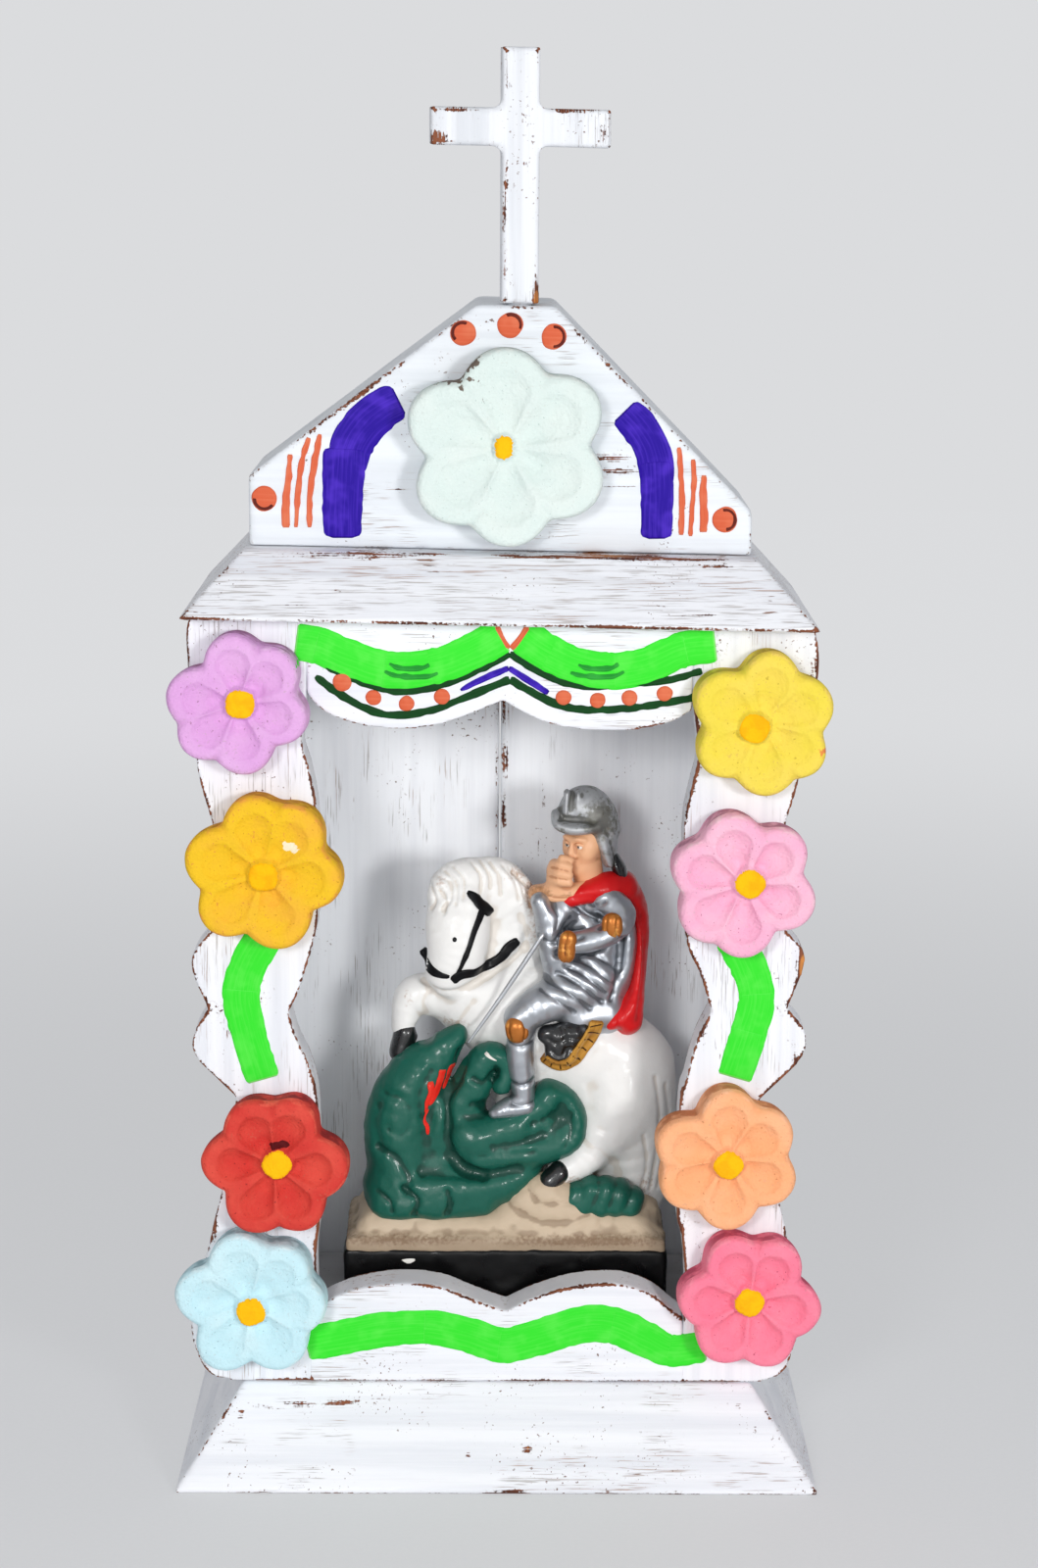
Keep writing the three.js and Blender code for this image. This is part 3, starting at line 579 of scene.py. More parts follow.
def ring_faces(sides: int, rings: int, outward: bool = True) -> list[list[int]]:
    """Joins a first point, rings of points and a last point with faces.

    Args:
        sides: points in each ring.
        rings: how many rings there are.
        outward: turns every face the other way where it is False.

    Returns:
        The faces.
    """
    faces: list[list[int]] = []
    for i in range(sides):
        j = (i + 1) % sides
        faces.append([0, 1 + i, 1 + j])
        for a in range(1, 1 + (rings - 1) * sides, sides):
            faces.append([a + i, a + sides + i, a + sides + j, a + j])
        a = 1 + (rings - 1) * sides
        faces.append([a + i, a + sides, a + j])
    return faces if outward else [[face[0], *face[:0:-1]] for face in faces]


@dataclass
class Shell:
    """A mesh in the making: points in millimetres, faces, and named values at the points."""

    points: np.ndarray
    faces: list[list[int]]
    marks: dict[str, np.ndarray] = field(default_factory=dict)

    def thing(self, name: str, material: bpy.types.Material | None = None) -> bpy.types.Object:
        """Makes a Blender object with smooth faces.

        Args:
            name: name of the object and its mesh.
            material: its finish.

        Returns:
            The object, linked to the scene.
        """
        mesh = bpy.data.meshes.new(name)
        mesh.from_pydata((self.points * MM).tolist(), [], self.faces)
        mesh.polygons.foreach_set("use_smooth", np.ones(len(mesh.polygons), bool))
        thing = bpy.data.objects.new(name, mesh)
        bpy.context.scene.collection.objects.link(thing)
        for key, values in self.marks.items():
            mark(mesh, key, values)
        if material:
            mesh.materials.append(material)
        return thing


def mark(mesh: bpy.types.Mesh, name: str, values: np.ndarray) -> None:
    """Stores a value at each point of a mesh."""
    layer = mesh.attributes.new(name, "FLOAT", "POINT")
    layer.data.foreach_set("value", np.asarray(values, np.float32))


def prism(outline: Points, front: float, back: float) -> Shell:
    """Board cut to an outline.

    Args:
        outline: X and Z values, anticlockwise seen from the front.
        front: Y of the front face.
        back: Y of the back face.

    Returns:
        The closed board.
    """
    flat = np.asarray(outline, float)
    count = len(flat)
    faces = [list(range(count)), list(range(2 * count - 1, count - 1, -1))]
    faces += [[i, i + count, (i + 1) % count + count, (i + 1) % count] for i in range(count)]
    points = [np.column_stack([flat[:, 0], np.full(count, y), flat[:, 1]]) for y in (front, back)]
    return Shell(np.vstack(points), faces)


def joined(shells: Sequence[Shell]) -> Shell:
    """Puts several shells in one mesh, with the marks that the first one has."""
    faces: list[list[int]] = []
    start = 0
    for shell in shells:
        faces += [[i + start for i in face] for face in shell.faces]
        start += len(shell.points)
    marks = {key: np.concatenate([shell.marks[key] for shell in shells]) for key in shells[0].marks}
    return Shell(np.vstack([shell.points for shell in shells]), faces, marks)


class Surface:
    """A finished mesh as arrays, to be rubbed, chipped and marked."""

    def __init__(self, mesh: bpy.types.Mesh) -> None:
        """Reads a mesh.

        Args:
            mesh: the mesh that is changed.
        """
        self.mesh = mesh
        flat = np.zeros(len(mesh.vertices) * 3)
        mesh.vertices.foreach_get("co", flat)
        self.points = flat.reshape(-1, 3) / MM
        ends = np.zeros(len(mesh.edges) * 2, np.int32)
        mesh.edges.foreach_get("vertices", ends)
        self.ends = ends.reshape(-1, 2)
        self.degree = np.maximum(np.bincount(ends, minlength=len(self.points)), 1)

    def around(self, values: np.ndarray) -> np.ndarray:
        """Averages a value over each point's neighbours."""
        a, b = self.ends.T
        columns = values.reshape(len(values), -1).T
        count = len(self.points)
        sums = [np.bincount(a, c[b], count) + np.bincount(b, c[a], count) for c in columns]
        return (np.array(sums) / self.degree).T.reshape(values.shape)

    def relax(self, rounds: int, share: float = 0.5) -> None:
        """Smooths the surface a little."""
        for _ in range(rounds):
            self.points += share * (self.around(self.points) - self.points)

    def normals(self) -> np.ndarray:
        """Writes the points to the mesh and gives its normals."""
        self.mesh.vertices.foreach_set("co", (self.points * MM).ravel())
        self.mesh.update()
        flat = np.zeros(len(self.points) * 3)
        self.mesh.vertex_normals.foreach_get("vector", flat)
        return flat.reshape(-1, 3)

    def bulge(self, spread: int) -> np.ndarray:
        """Gives how far each point stands out from those around it.

        Args:
            spread: rounds of averaging.

        Returns:
            Millimetres, positive on edges that stand out and negative in hollows.
        """
        out = np.sum((self.points - self.around(self.points)) * self.normals(), axis=1)
        for _ in range(spread):
            out = 0.4 * out + 0.6 * self.around(out)
        return out

    def engrave(self, line: Points, width: float, depth: float) -> None:
        """Presses a line, drawn in the front view, into what looks to the front.

        Args:
            line: X and Z values.
            width: half the width of the groove.
            depth: its depth, negative for a ridge.
        """
        curve = smooth_line(line, 5)
        low, high = curve.min(0) - 3 * width, curve.max(0) + 3 * width
        flat = self.points[:, [0, 2]]
        near = np.flatnonzero(np.all((flat > low) & (flat < high), axis=1))
        if len(near) == 0:
            return
        normal = self.normals()[near]
        push = depth * np.exp(-((far_from(self.points[near], curve) / width) ** 2))
        push *= np.clip(0.2 - 1.6 * normal[:, 1], 0, 1)
        self.points[near] -= normal * push[:, None]


def remeshed(source: bpy.types.Object, voxel: float, name: str) -> bpy.types.Object:
    """Covers an object's closed shapes with one even skin.

    Args:
        source: the object, which is removed.
        voxel: size of the skin's faces, in millimetres.
        name: name of the new object.

    Returns:
        The new object.
    """
    change = source.modifiers.new("skin", "REMESH")
    change.mode = "VOXEL"
    change.voxel_size = voxel * MM
    change.use_smooth_shade = True
    ready = source.evaluated_get(bpy.context.evaluated_depsgraph_get())
    mesh = bpy.data.meshes.new_from_object(ready)
    mesh.name = name
    bpy.data.objects.remove(source)
    thing = bpy.data.objects.new(name, mesh)
    bpy.context.scene.collection.objects.link(thing)
    return thing


def node_shell(name: str) -> Shell:
    """Copies the shape of a CAD node."""
    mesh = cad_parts[name].data
    points = np.array([v.co for v in mesh.vertices]) / MM
    return Shell(points, [list(face.vertices) for face in mesh.polygons])


def settled(points: np.ndarray) -> np.ndarray:
    """Gives hand-built woodwork its lean: the upper pieces drop a little to the right.

    Args:
        points: places in the true frame, in millimetres.

    Returns:
        The same points as built.
    """
    z = points[:, 2]
    share = np.interp(z, (150.0, 306.0), (0.0, 1.0))
    drop = -0.016 * points[:, 0] * share * share * (3 - 2 * share)
    lift = np.interp(z, (270.0, 306.0, 330.0, 413.0, 440.0), (0.0, 2.0, 0.2, 0.9, -0.6))
    return points + np.column_stack([0 * z, 0 * z, drop + lift])


def place(
    piece: bpy.types.Object, body: Body, slot: str, nodes: Sequence[str] = ()
) -> bpy.types.Object:
    """Hands a finished piece to the frame and reports it.

    Args:
        piece: the piece.
        body: the body that it rides on.
        slot: the record's material slot; not used.
        nodes: CAD nodes that it stands for.

    Returns:
        The piece.
    """
    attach(piece, body.value)
    if nodes:
        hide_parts(*nodes)
    LOG.info("%s: %d points", piece.name, len(piece.data.vertices))
    return piece


@dataclass
class WornBoard:
    """One piece of painted wood, its edges rubbed, chipped and marked for wear."""

    name: str
    shell: Shell
    finish: PaintedWood
    nodes: tuple[str, ...]
    voxel: float = 1.2
    rounding: int = 2
    chips: float = 0.7
    waves: float = 0.25
    seed: int = 1
    lean: bool = True
    slot: str = "white_painted_wood"
    spread: float = 0.3
    outer: float = 1.0
    sealed: tuple[tuple[float, float, float], ...] = ()
    sealed_reach: float = 2.6
    outer_from: float = 86.0
    dents: tuple[tuple[float, float], ...] = ()
    dent_depth: float = 0.5
    dent_radius: float = 3.4
    bald: Spots = ()

    def build(self) -> bpy.types.Object:
        """Makes the piece and places it on the shrine."""
        piece = remeshed(self.shell.thing("blank"), self.voxel, self.name)
        surface = Surface(piece.data)
        edge = np.clip((surface.bulge(1) / self.voxel - 0.035) / 0.09, 0, 1)
        for x, low, high in self.sealed:
            near = np.abs(surface.points[:, 0] - x) < self.sealed_reach
            edge[near & (surface.points[:, 2] > low) & (surface.points[:, 2] < high)] = 0
        edge[np.abs(surface.points[:, 0]) > self.outer_from] *= self.outer
        surface.relax(self.rounding)
        normal = surface.normals()
        points = surface.points
        chip = lumps(points, 7, self.seed) + 0.6 * lumps(points, 2.6, self.seed + 3)
        chip = np.clip(chip - 0.45, 0, 1)
        wave = 0.5 + 0.35 * lumps(points * (1, 1, 0.6), 24, self.seed + 5)
        wave += 0.15 * lumps(points, 8, self.seed)
        inward = self.chips * chip * edge + self.waves * np.clip(wave, 0, 1)
        for x, z in self.dents:
            near = np.hypot(points[:, 0] - x, points[:, 2] - z) < self.dent_radius
            inward[near & (normal[:, 1] > 0.5)] += self.dent_depth
        surface.points = points - normal * inward[:, None]
        if self.lean:
            surface.points = settled(surface.points)
        surface.normals()
        beside = self.spread * np.clip(2.2 * surface.around(edge), 0, 1)
        mark(piece.data, "wear", np.maximum(edge, beside))
        mark(piece.data, "bald", spotted(surface.points, self.bald) * (normal[:, 1] < 0.3))
        piece.data.materials.append(self.finish.material())
        return place(piece, Body.SHRINE, self.slot, self.nodes)


@dataclass
class Woodwork:
    """Plinth, niche boards, cornice, pediment and cross of the shrine."""

    voxel: float = 1.3
    inner_voxel: float = 1.9
    cross_voxel: float = 0.7
    stick_half: float = 6.5
    corner_putty: float = 1.7
    putty_depth: tuple[float, float] = (-21.2, -10.4)
    cross_arm_middle: tuple[float, float] = (6.0, 473.5)
    nail_head: float = 58.95
    nail_profile: tuple[tuple[float, float], ...] = (
        (1.4, 58.9), (2.3, 58.75), (2.6, 58.45), (0.9, 58.2), (0.9, 40.0),
    )
    nail_tip: float = 37.0
    nail_sides: int = 18
    plinth_bald: Spots = (
        (-82, 26.4, 7, 1.0, 0.9), (-70, 27, 9, 1.0, 1.25), (-56, 27.8, 9, 1.0, 1.2),
        (-42, 28.8, 8, 0.9, 0.9), (-91, 24.6, 1.2, 3, 1.0), (86, 27, 2, 2.5, 1.0),
        (92, 20, 1.5, 2, 1.0), (11, 14, 1.6, 1.3, 1.5), (-10, 12, 1.5, 1.3, 1.2),
        (22, 16, 4, 0.8, 0.9), (58, 18, 3, 0.7, 0.9), (-60, 1, 8, 1.2, 0.8), (5, 1, 7, 1.2, 0.8),
        (40, 1, 5, 1, 0.6), (70, 30, 5, 0.8, 0.8), (-14, 20, 6, 0.5, 0.7),
    )
    cornice_bald: Spots = (
        (-55, 319, 1.9, 1.4, 0.9), (88, 315, 8, 1, 0.8), (70, 312, 10, 0.8, 0.8),
        (74, 327, 9, 1.2, 0.9), (40, 329.8, 44, 1.5, 1.35), (-50, 329.8, 34, 1.4, 0.95),
        (-70, 315, 12, 1.2, 0.6), (30, 318, 22, 7, 0.35), (72, 322, 18, 7, 0.45),
    )
    gable_bald: Spots = (
        (38, 362.5, 12, 1.8, 1.13), (43, 357.6, 12, 1.8, 1.13), (39, 352.6, 11, 1.5, 1.07),
        (-35, 352, 5, 4, 0.6), (70, 337, 6, 2, 0.5), (-58, 383, 17, 14, 0.35),
        (66, 372, 6, 9, 0.3), (-12, 335, 2, 1.4, 0.9),
    )
    seam_bald: Spots = (
        (2.4, 262, 1.2, 10, 0.95), (3.4, 240, 1.2, 16, 1.0), (2.2, 224, 1.1, 8, 0.9),
        (16, 246, 0.9, 8, 0.9), (16, 226, 1.3, 16, 1.05), (14.6, 208, 1.1, 8, 1.0),
        (18, 196, 0.8, 8, 0.8), (-30, 200, 0.6, 14, 0.7),
    )
    cross_bald: Spots = (
        (2.6, 487, 1.3, 3.4, 1.0), (-21.5, 469.4, 3.4, 2.0, 1.1), (-15, 478.5, 6, 0.8, 0.9),
        (24, 478.5, 9, 0.8, 1.1), (7.5, 461, 1.2, 1.0, 1.1), (11.8, 416, 1.3, 4.5, 1.8),
        (0.6, 442, 0.8, 9, 0.9), (0.5, 424, 0.8, 6, 0.8), (34, 471, 1.2, 4, 0.8),
        (-1.2, 494, 0.9, 4, 1.0),
    )

    def _rectangle(self, name: str) -> Shell:
        """Gives the plain board that fills a CAD node's box."""
        low, high = (np.array(corner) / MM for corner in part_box(name))
        outline = [(low[0], low[2]), (high[0], low[2]), (high[0], high[2]), (low[0], high[2])]
        return prism(outline, low[1], high[1])

    def _moulding(self) -> None:
        """Makes the plinth, the cornice and the pediment."""
        across = Grain.ACROSS
        base = PaintedWood("paint_on_plinth", across, streaks=0.4, specks=0.8, bare=0.6)
        top = PaintedWood("paint_on_cornice", across, streaks=1.15, specks=0.6, bare=0.6)
        gable = PaintedWood("paint_on_gable", across, 0xE8ECF0, 0xDDE1E6, 0.35, 0.5, 0.2)
        for seed, name, node, finish, bald in (
            (2, "plinth_block", "plinth", base, self.plinth_bald),
            (4, "cornice_block", "cornice", top, self.cornice_bald),
            (6, "gable_block", "pediment", gable, self.gable_bald),
        ):
            WornBoard(
                name, node_shell(node), finish, (node,), self.voxel, waves=0.3, seed=seed, bald=bald
            ).build()

    def _niche(self) -> None:
        """Makes the boards behind the frame and the nails that hold them."""
        # The floor and ceiling boards take a darker grey than the walls: painted shade.
        floor = PaintedWood("paint_on_floor_with_painted_shade", Grain.ACROSS, 0xC9C9CB, 0xB4B3B4, 0.7, 0.8, 0.3)
        grey = PaintedWood("paint_in_niche", Grain.UPRIGHT, 0xF7F9FC, 0xEDEFF3, 0.3, 0.5, 0.05)
        middles = {}
        for name in sorted(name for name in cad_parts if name.startswith("back_nail")):
            low, high = (np.array(corner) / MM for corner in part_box(name))
            middles[name] = ((low[0] + high[0]) / 2, (low[2] + high[2]) / 2)
        for seed, name, finish in (
            (20, "floor_board", floor), (21, "ceiling_board", floor),
            (22, "side_board_left", grey), (23, "side_board_right", grey),
            (30, "back_board_left", grey), (31, "back_board_right", grey),
        ):
            nailed = name.startswith("back")
            WornBoard(
                name + "_wood", self._rectangle(name), finish, (name,), self.inner_voxel, 1,
                seed=seed, slot="grey_painted_wood", spread=0.0,
                dents=tuple(middles.values()) if nailed else (),
                bald=self.seam_bald if nailed else (),
            ).build()
        steel = DullSteel().material()
        for name, (x, z) in middles.items():
            self._nail(name, x, z, steel)

    def _nail(self, name: str, x: float, z: float, steel: bpy.types.Material) -> None:
        """Turns one nail, head to the back."""
        turns = [2 * math.pi * i / self.nail_sides for i in range(self.nail_sides)]
        points = [(x, self.nail_head, z)]
        for radius, y in self.nail_profile:
            points += [(x + radius * math.cos(t), y, z + radius * math.sin(t)) for t in turns]
        points.append((x, self.nail_tip, z))
        faces = ring_faces(self.nail_sides, len(self.nail_profile), outward=False)
        shell = Shell(settled(np.array(points)), faces)
        place(shell.thing(name + "_wire", steel), Body.SHRINE, "nail_steel", (name,))

    def _cross(self) -> None:
        """Makes the cross as one painted stick pair with putty in its corners."""
        upright, arm = node_shell("cross_upright"), node_shell("cross_arm")
        x, z = self.cross_arm_middle
        near, reach = self.stick_half, self.stick_half + self.corner_putty
        corners = (
            (-near, -reach), (near, -reach), (reach, -near), (reach, near),
            (near, reach), (-near, reach), (-reach, near), (-reach, -near),
        )
        putty = prism([(x + dx, z + dz) for dx, dz in corners], *self.putty_depth)
        shell = joined([upright, arm, putty])
        finish = PaintedWood("paint_on_cross", Grain.UPRIGHT, 0xE8EAEE, 0xD6D9DE, 0.6, 1.0, 0.8)
        WornBoard(
            "painted_cross", shell, finish, ("cross_upright", "cross_arm"), self.cross_voxel, 3,
            chips=0.8, waves=0.3, seed=9, bald=self.cross_bald,
        ).build()

    def build(self) -> None:
        """Makes all of the woodwork behind, under and over the front frame."""
        self._moulding()
        self._niche()
        self._cross()


@dataclass
class FrontFrame:
    """The scalloped front: two stiles, a valance and a rail, sawn by hand."""

    front: float = -38.0
    back: float = -22.0
    foot: float = 33.8
    top: float = 309.0
    seam: float = 66.0
    sealed: tuple[tuple[float, float, float], ...] = (
        (-66, 281.5, 307), (66, 279, 307), (-66, 36, 58.5), (66, 36, 57),
    )
    lap: float = 0.8
    voxel: float = 0.95
    left_edge: tuple[Points, ...] = (
        ((-106, 309), (-107, 299), (-104, 258), (-99, 237), (-93, 211)),
        ((-93, 207), (-99.5, 200), (-107, 188), (-101.5, 171)),
        ((-101.5, 171), (-106, 163), (-106, 154), (-92, 139)),
        ((-92, 139), (-96.5, 110), (-100, 95), (-103, 82), (-109, 58), (-107, 44), (-102, 36),
         (-93, 33.8)),
    )
    right_edge: tuple[Points, ...] = (
        ((107, 309), (109, 290), (103, 253), (99, 238), (94, 212)),
        ((94, 208), (100, 200), (106.5, 190), (101, 172)),
        ((101, 172), (107, 164), (106, 154), (92, 139)),
        ((92, 139), (97, 110), (100, 100), (103, 86), (107.5, 58), (106, 48), (102.5, 38),
         (94, 33.8)),
    )
    left_window: tuple[Points, ...] = (
        ((-66, 280), (-67.5, 266), (-65, 256), (-62.5, 240), (-62.5, 208), (-64, 196), (-69, 179),
         (-73, 170)),
        ((-73, 170), (-70, 160), (-66, 151), (-63, 136), (-62.5, 98), (-64, 82), (-64, 66),
         (-66, 58)),
    )
    right_window: tuple[Points, ...] = (
        ((66, 280), (68, 262), (65.5, 249), (63.5, 235), (64.5, 199), (70, 184), (74, 171)),
        ((74, 171), (69, 160), (65.5, 146), (63.5, 137), (63, 99), (65, 88), (66.5, 72), (66, 58)),
    )
    valance_edge: tuple[Points, ...] = (
        ((-66, 283), (-61, 277), (-50, 272.3), (-37, 270.6), (-24, 271.3), (-12, 275), (1, 280.5)),
        ((1, 280.5), (10, 275.5), (19, 272), (31, 270.4), (45, 270.4), (58, 273), (66, 277.5)),
    )
    rail_edge: tuple[Points, ...] = (
        ((-66, 60.5), (-60, 64.5), (-49, 68.8), (-34, 70.8), (-20, 69.4), (-9, 65), (3, 60.5)),
        ((3, 60.5), (13, 65.5), (26, 69.6), (42, 70.8), (54, 67.4), (61, 62), (66, 58)),
    )
    left_bald: Spots = (
        (-72, 232, 1.2, 14, 0.5), (-66, 120, 1.2, 16, 0.4), (-104, 188, 1.5, 8, 0.5),
        (-100, 92, 1.5, 8, 0.5),
    )
    right_bald: Spots = (
        (106, 187, 2.6, 8, 1.7), (104, 152, 1.5, 10, 0.5), (66, 225, 1.3, 20, 0.5),
        (72, 160, 1.4, 12, 0.5),
        (65, 120, 1.2, 16, 0.4), (66, 80, 1.2, 12, 0.5), (107, 292, 1.2, 10, 0.4),
    )

    def _run(self, runs: Sequence[Points]) -> list[tuple[float, float]]:
        """Joins smooth runs that meet in sharp points."""
        line: list[tuple[float, float]] = []
        for run in runs:
            line += [tuple(point) for point in smooth_line(run, 6)]
        return line

    def _stile(
        self, name: str, side: int, edge: Sequence[Points], window: Sequence[Points]
    ) -> None:
        """Saws one stile."""
        seam = side * (self.seam - self.lap)
        around = self._run(edge) + [(seam, self.foot)]
        around += self._run(window)[::-1] + [(seam, self.top)]
        if side > 0:
            around = around[::-1]
        finish = PaintedWood("paint_on_" + name, Grain.UPRIGHT, streaks=0.5, specks=0.55, bare=1.3)
        marks = self.left_bald if side < 0 else self.right_bald
        WornBoard(
            name + "_wood", prism(around, self.front, self.back), finish, (name,), self.voxel, 1,
            chips=0.55, waves=0.2, seed=11 + side, lean=False, bald=marks, spread=1.1, outer=0.7,
            sealed=self.sealed,
        ).build()

    def build(self) -> None:
        """Makes the four boards of the frame."""
        self._stile("stile_left", -1, self.left_edge, self.left_window)
        self._stile("stile_right", 1, self.right_edge, self.right_window)
        seam = self.seam + self.lap
        valance = self._run(self.valance_edge) + [(seam, self.top), (-seam, self.top)]
        rail = [(-seam, self.foot), (seam, self.foot)] + self._run(self.rail_edge)[::-1]
        for name, outline, bare in (("valance", valance, 0.7), ("rail", rail, 1.2)):
            finish = PaintedWood("paint_on_" + name, Grain.ACROSS, streaks=0.35, bare=bare)
            WornBoard(
                name + "_wood", prism(outline, self.front, self.back), finish, (name,), self.voxel,
                1, chips=0.55, waves=0.2, seed=15, lean=False, spread=0.8, sealed=self.sealed,
            ).build()


# Cross section of a stroke: share of the half width, and of the thickness. Millimetres follow:
# length of the steps along it and of its thin ends, gap over the surface, and depth in it.
STROKE_SECTION = (
    (-1.0, 0.0), (-0.94, 0.75), (-0.75, 1.0), (-0.4, 1.0), (0.0, 1.0),
    (0.4, 1.0), (0.75, 1.0), (0.94, 0.75), (1.0, 0.0),
)
STROKE_STEP = 0.8
TIP_LENGTH = 0.8
CLEAR = 0.03
SINK = 0.5
# Rings of a dab: share of its radius, and of its thickness; the last one is in the surface.
DAB_RINGS = ((0.35, 1.0), (0.7, 0.95), (0.9, 0.75), (1.0, 0.0), (1.0, None))


def stroke(
    line: Points, width: float | Sequence[float], ground: Heights, thick: float = 0.28,
    ragged: float = 0.35, seed: int = 1, sink: float = SINK, blunt: float = 0.72,
) -> Shell:
    """Lays one brush stroke on a surface, as a thin domed strip.

    Args:
        line: X and Z values of its middle line.
        width: its full width, or one for each point.
        ground: gives the surface's Y at an X and Z.
        thick: height of the paint over the surface.
        ragged: how far its sides wander.
        seed: picks the wandering.
        sink: how deep it reaches into the surface.
        blunt: width of its ends as a share of the full width.

    Returns:
        The closed strip, marked along and across.
    """
    widths = np.broadcast_to(np.asarray(width, float), (len(line),))
    raw = smooth_line(np.column_stack([np.asarray(line, float), widths]), 8)
    steps = np.linalg.norm(np.diff(raw[:, :2], axis=0), axis=1)
    length = np.concatenate([[0], np.cumsum(steps)])
    count = max(6, int(length[-1] / STROKE_STEP))
    way = np.linspace(0, length[-1], count)
    x, z, full = (np.interp(way, length, raw[:, i]) for i in range(3))
    slope = np.gradient(np.column_stack([x, z]), axis=0)
    slope /= np.linalg.norm(slope, axis=1)[:, None]
    side = np.column_stack([-slope[:, 1], slope[:, 0]])
    to_end = np.minimum(way, way[::-1])
    tips = np.clip(to_end / (0.18 * full + 0.2), 0.0, 1)
    rounded = blunt + (1 - blunt) * np.sqrt(tips * (2 - tips))
    end = np.where((way <= 0) | (way >= length[-1]), 0.2, 1)
    tops, lows, near = [], [], []
    for share, rise in STROKE_SECTION:
        where = np.column_stack([way, 0 * way + np.sign(share), 0 * way])
        off = share * (full / 2 * rounded + ragged * lumps(where, 2.3, seed) * abs(share))
        px, pz = x + side[:, 0] * off, z + side[:, 1] * off
        level = np.array([ground(a, b) for a, b in zip(px, pz)])
        tops.append(np.column_stack([px, level - thick * rise * end - CLEAR, pz]))
        lows.append(np.column_stack([px, level + sink, pz]))
        near.append(off)
    n = len(STROKE_SECTION)
    points = np.vstack([np.stack(tops, 1).reshape(-1, 3), np.stack(lows, 1).reshape(-1, 3)])
    base = count * n
    faces: list[list[int]] = []
    for i in range(count - 1):
        for k in range(n - 1):
            a, b = i * n + k, (i + 1) * n + k
            faces += [[a, b, b + 1, a + 1], [base + a, base + a + 1, base + b + 1, base + b]]
        a, b = i * n, (i + 1) * n
        faces.append([a, base + a, base + b, b])
        faces.append([a + n - 1, b + n - 1, base + b + n - 1, base + a + n - 1])
    for k in range(n - 1):
        last = (count - 1) * n + k
        faces.append([k, k + 1, base + k + 1, base + k])
        faces.append([last, base + last, base + last + 1, last + 1])
    marks = {
        "along": np.tile(np.repeat(way, n), 2),
        "across": np.tile(np.stack(near, 1).ravel(), 2),
        "tip": np.tile(np.repeat(np.exp(-(to_end / TIP_LENGTH) ** 2), n), 2),
    }
    return Shell(points, faces, marks)


def strokes(
    line: Points, width: Sequence[float], ground: Heights, starts: Sequence[int], seed: int
) -> list[Shell]:
    """Lays a long band as brush strokes that lap over each other.

    Args:
        line: X and Z values of its middle line.
        width: its full width at each point.
        ground: gives the surface's Y at an X and Z.
        starts: points where a new stroke starts.
        seed: picks the wandering.

    Returns:
        The strokes, each a little prouder than the one before.
    """
    rows = smooth_line(np.column_stack([np.asarray(line, float), width]), 6)
    ends = [0, *(6 * start for start in starts), len(rows) - 1]
    laid = []
    for i, (a, b) in enumerate(zip(ends, ends[1:])):
        run, thick = rows[max(0, a - 1) : b + 2], 0.28 + 0.07 * i
        laid.append(stroke(run[:, :2], run[:, 2], ground, thick, seed=seed + i, blunt=0.86))
    return laid


def dab(
    x: float, z: float, radius: float | tuple[float, float], ground: Heights, thick: float,
    seed: int, sides: int = 28,
) -> Shell:
    """Sets one round dab of paint on a surface.

    Args:
        x: middle.
        z: middle.
        radius: radius, or the half width and half height.
        ground: gives the surface's Y at an X and Z.
        thick: height of the paint.
        seed: picks its uneven outline.
        sides: points around it.

    Returns:
        The closed dab, marked as a stroke is.
    """
    wide, high = radius if isinstance(radius, tuple) else (radius, radius)
    turns = np.linspace(0, 2 * math.pi, sides, endpoint=False)
    circle = np.column_stack([np.cos(turns), np.sin(turns)])
    reach = 1 + 0.07 * lumps(np.column_stack([circle * 1.3, 0 * turns]), 1, seed)
    points = [(x, ground(x, z) - thick - CLEAR, z)]
    for share, rise in DAB_RINGS:
        for (c, s), r in zip(circle, reach):
            px, pz = x + wide * share * r * c, z + high * share * r * s
            level = ground(px, pz)
            points.append((px, level + SINK if rise is None else level - thick * rise - CLEAR, pz))
    points.append((x, ground(x, z) + SINK, z))
    flat = np.array(points)
    marks = {"along": flat[:, 0] - x, "across": flat[:, 2] - z, "tip": 0 * flat[:, 0]}
    return Shell(flat, ring_faces(sides, len(DAB_RINGS)), marks)


def arc(x: float, z: float, radius: float, start: float, end: float) -> list[tuple[float, float]]:
    """Gives points on part of a circle, between two angles in degrees."""
    turns = np.radians(np.linspace(start, end, 6))
    return [(x + radius * math.cos(t), z + radius * math.sin(t)) for t in turns]


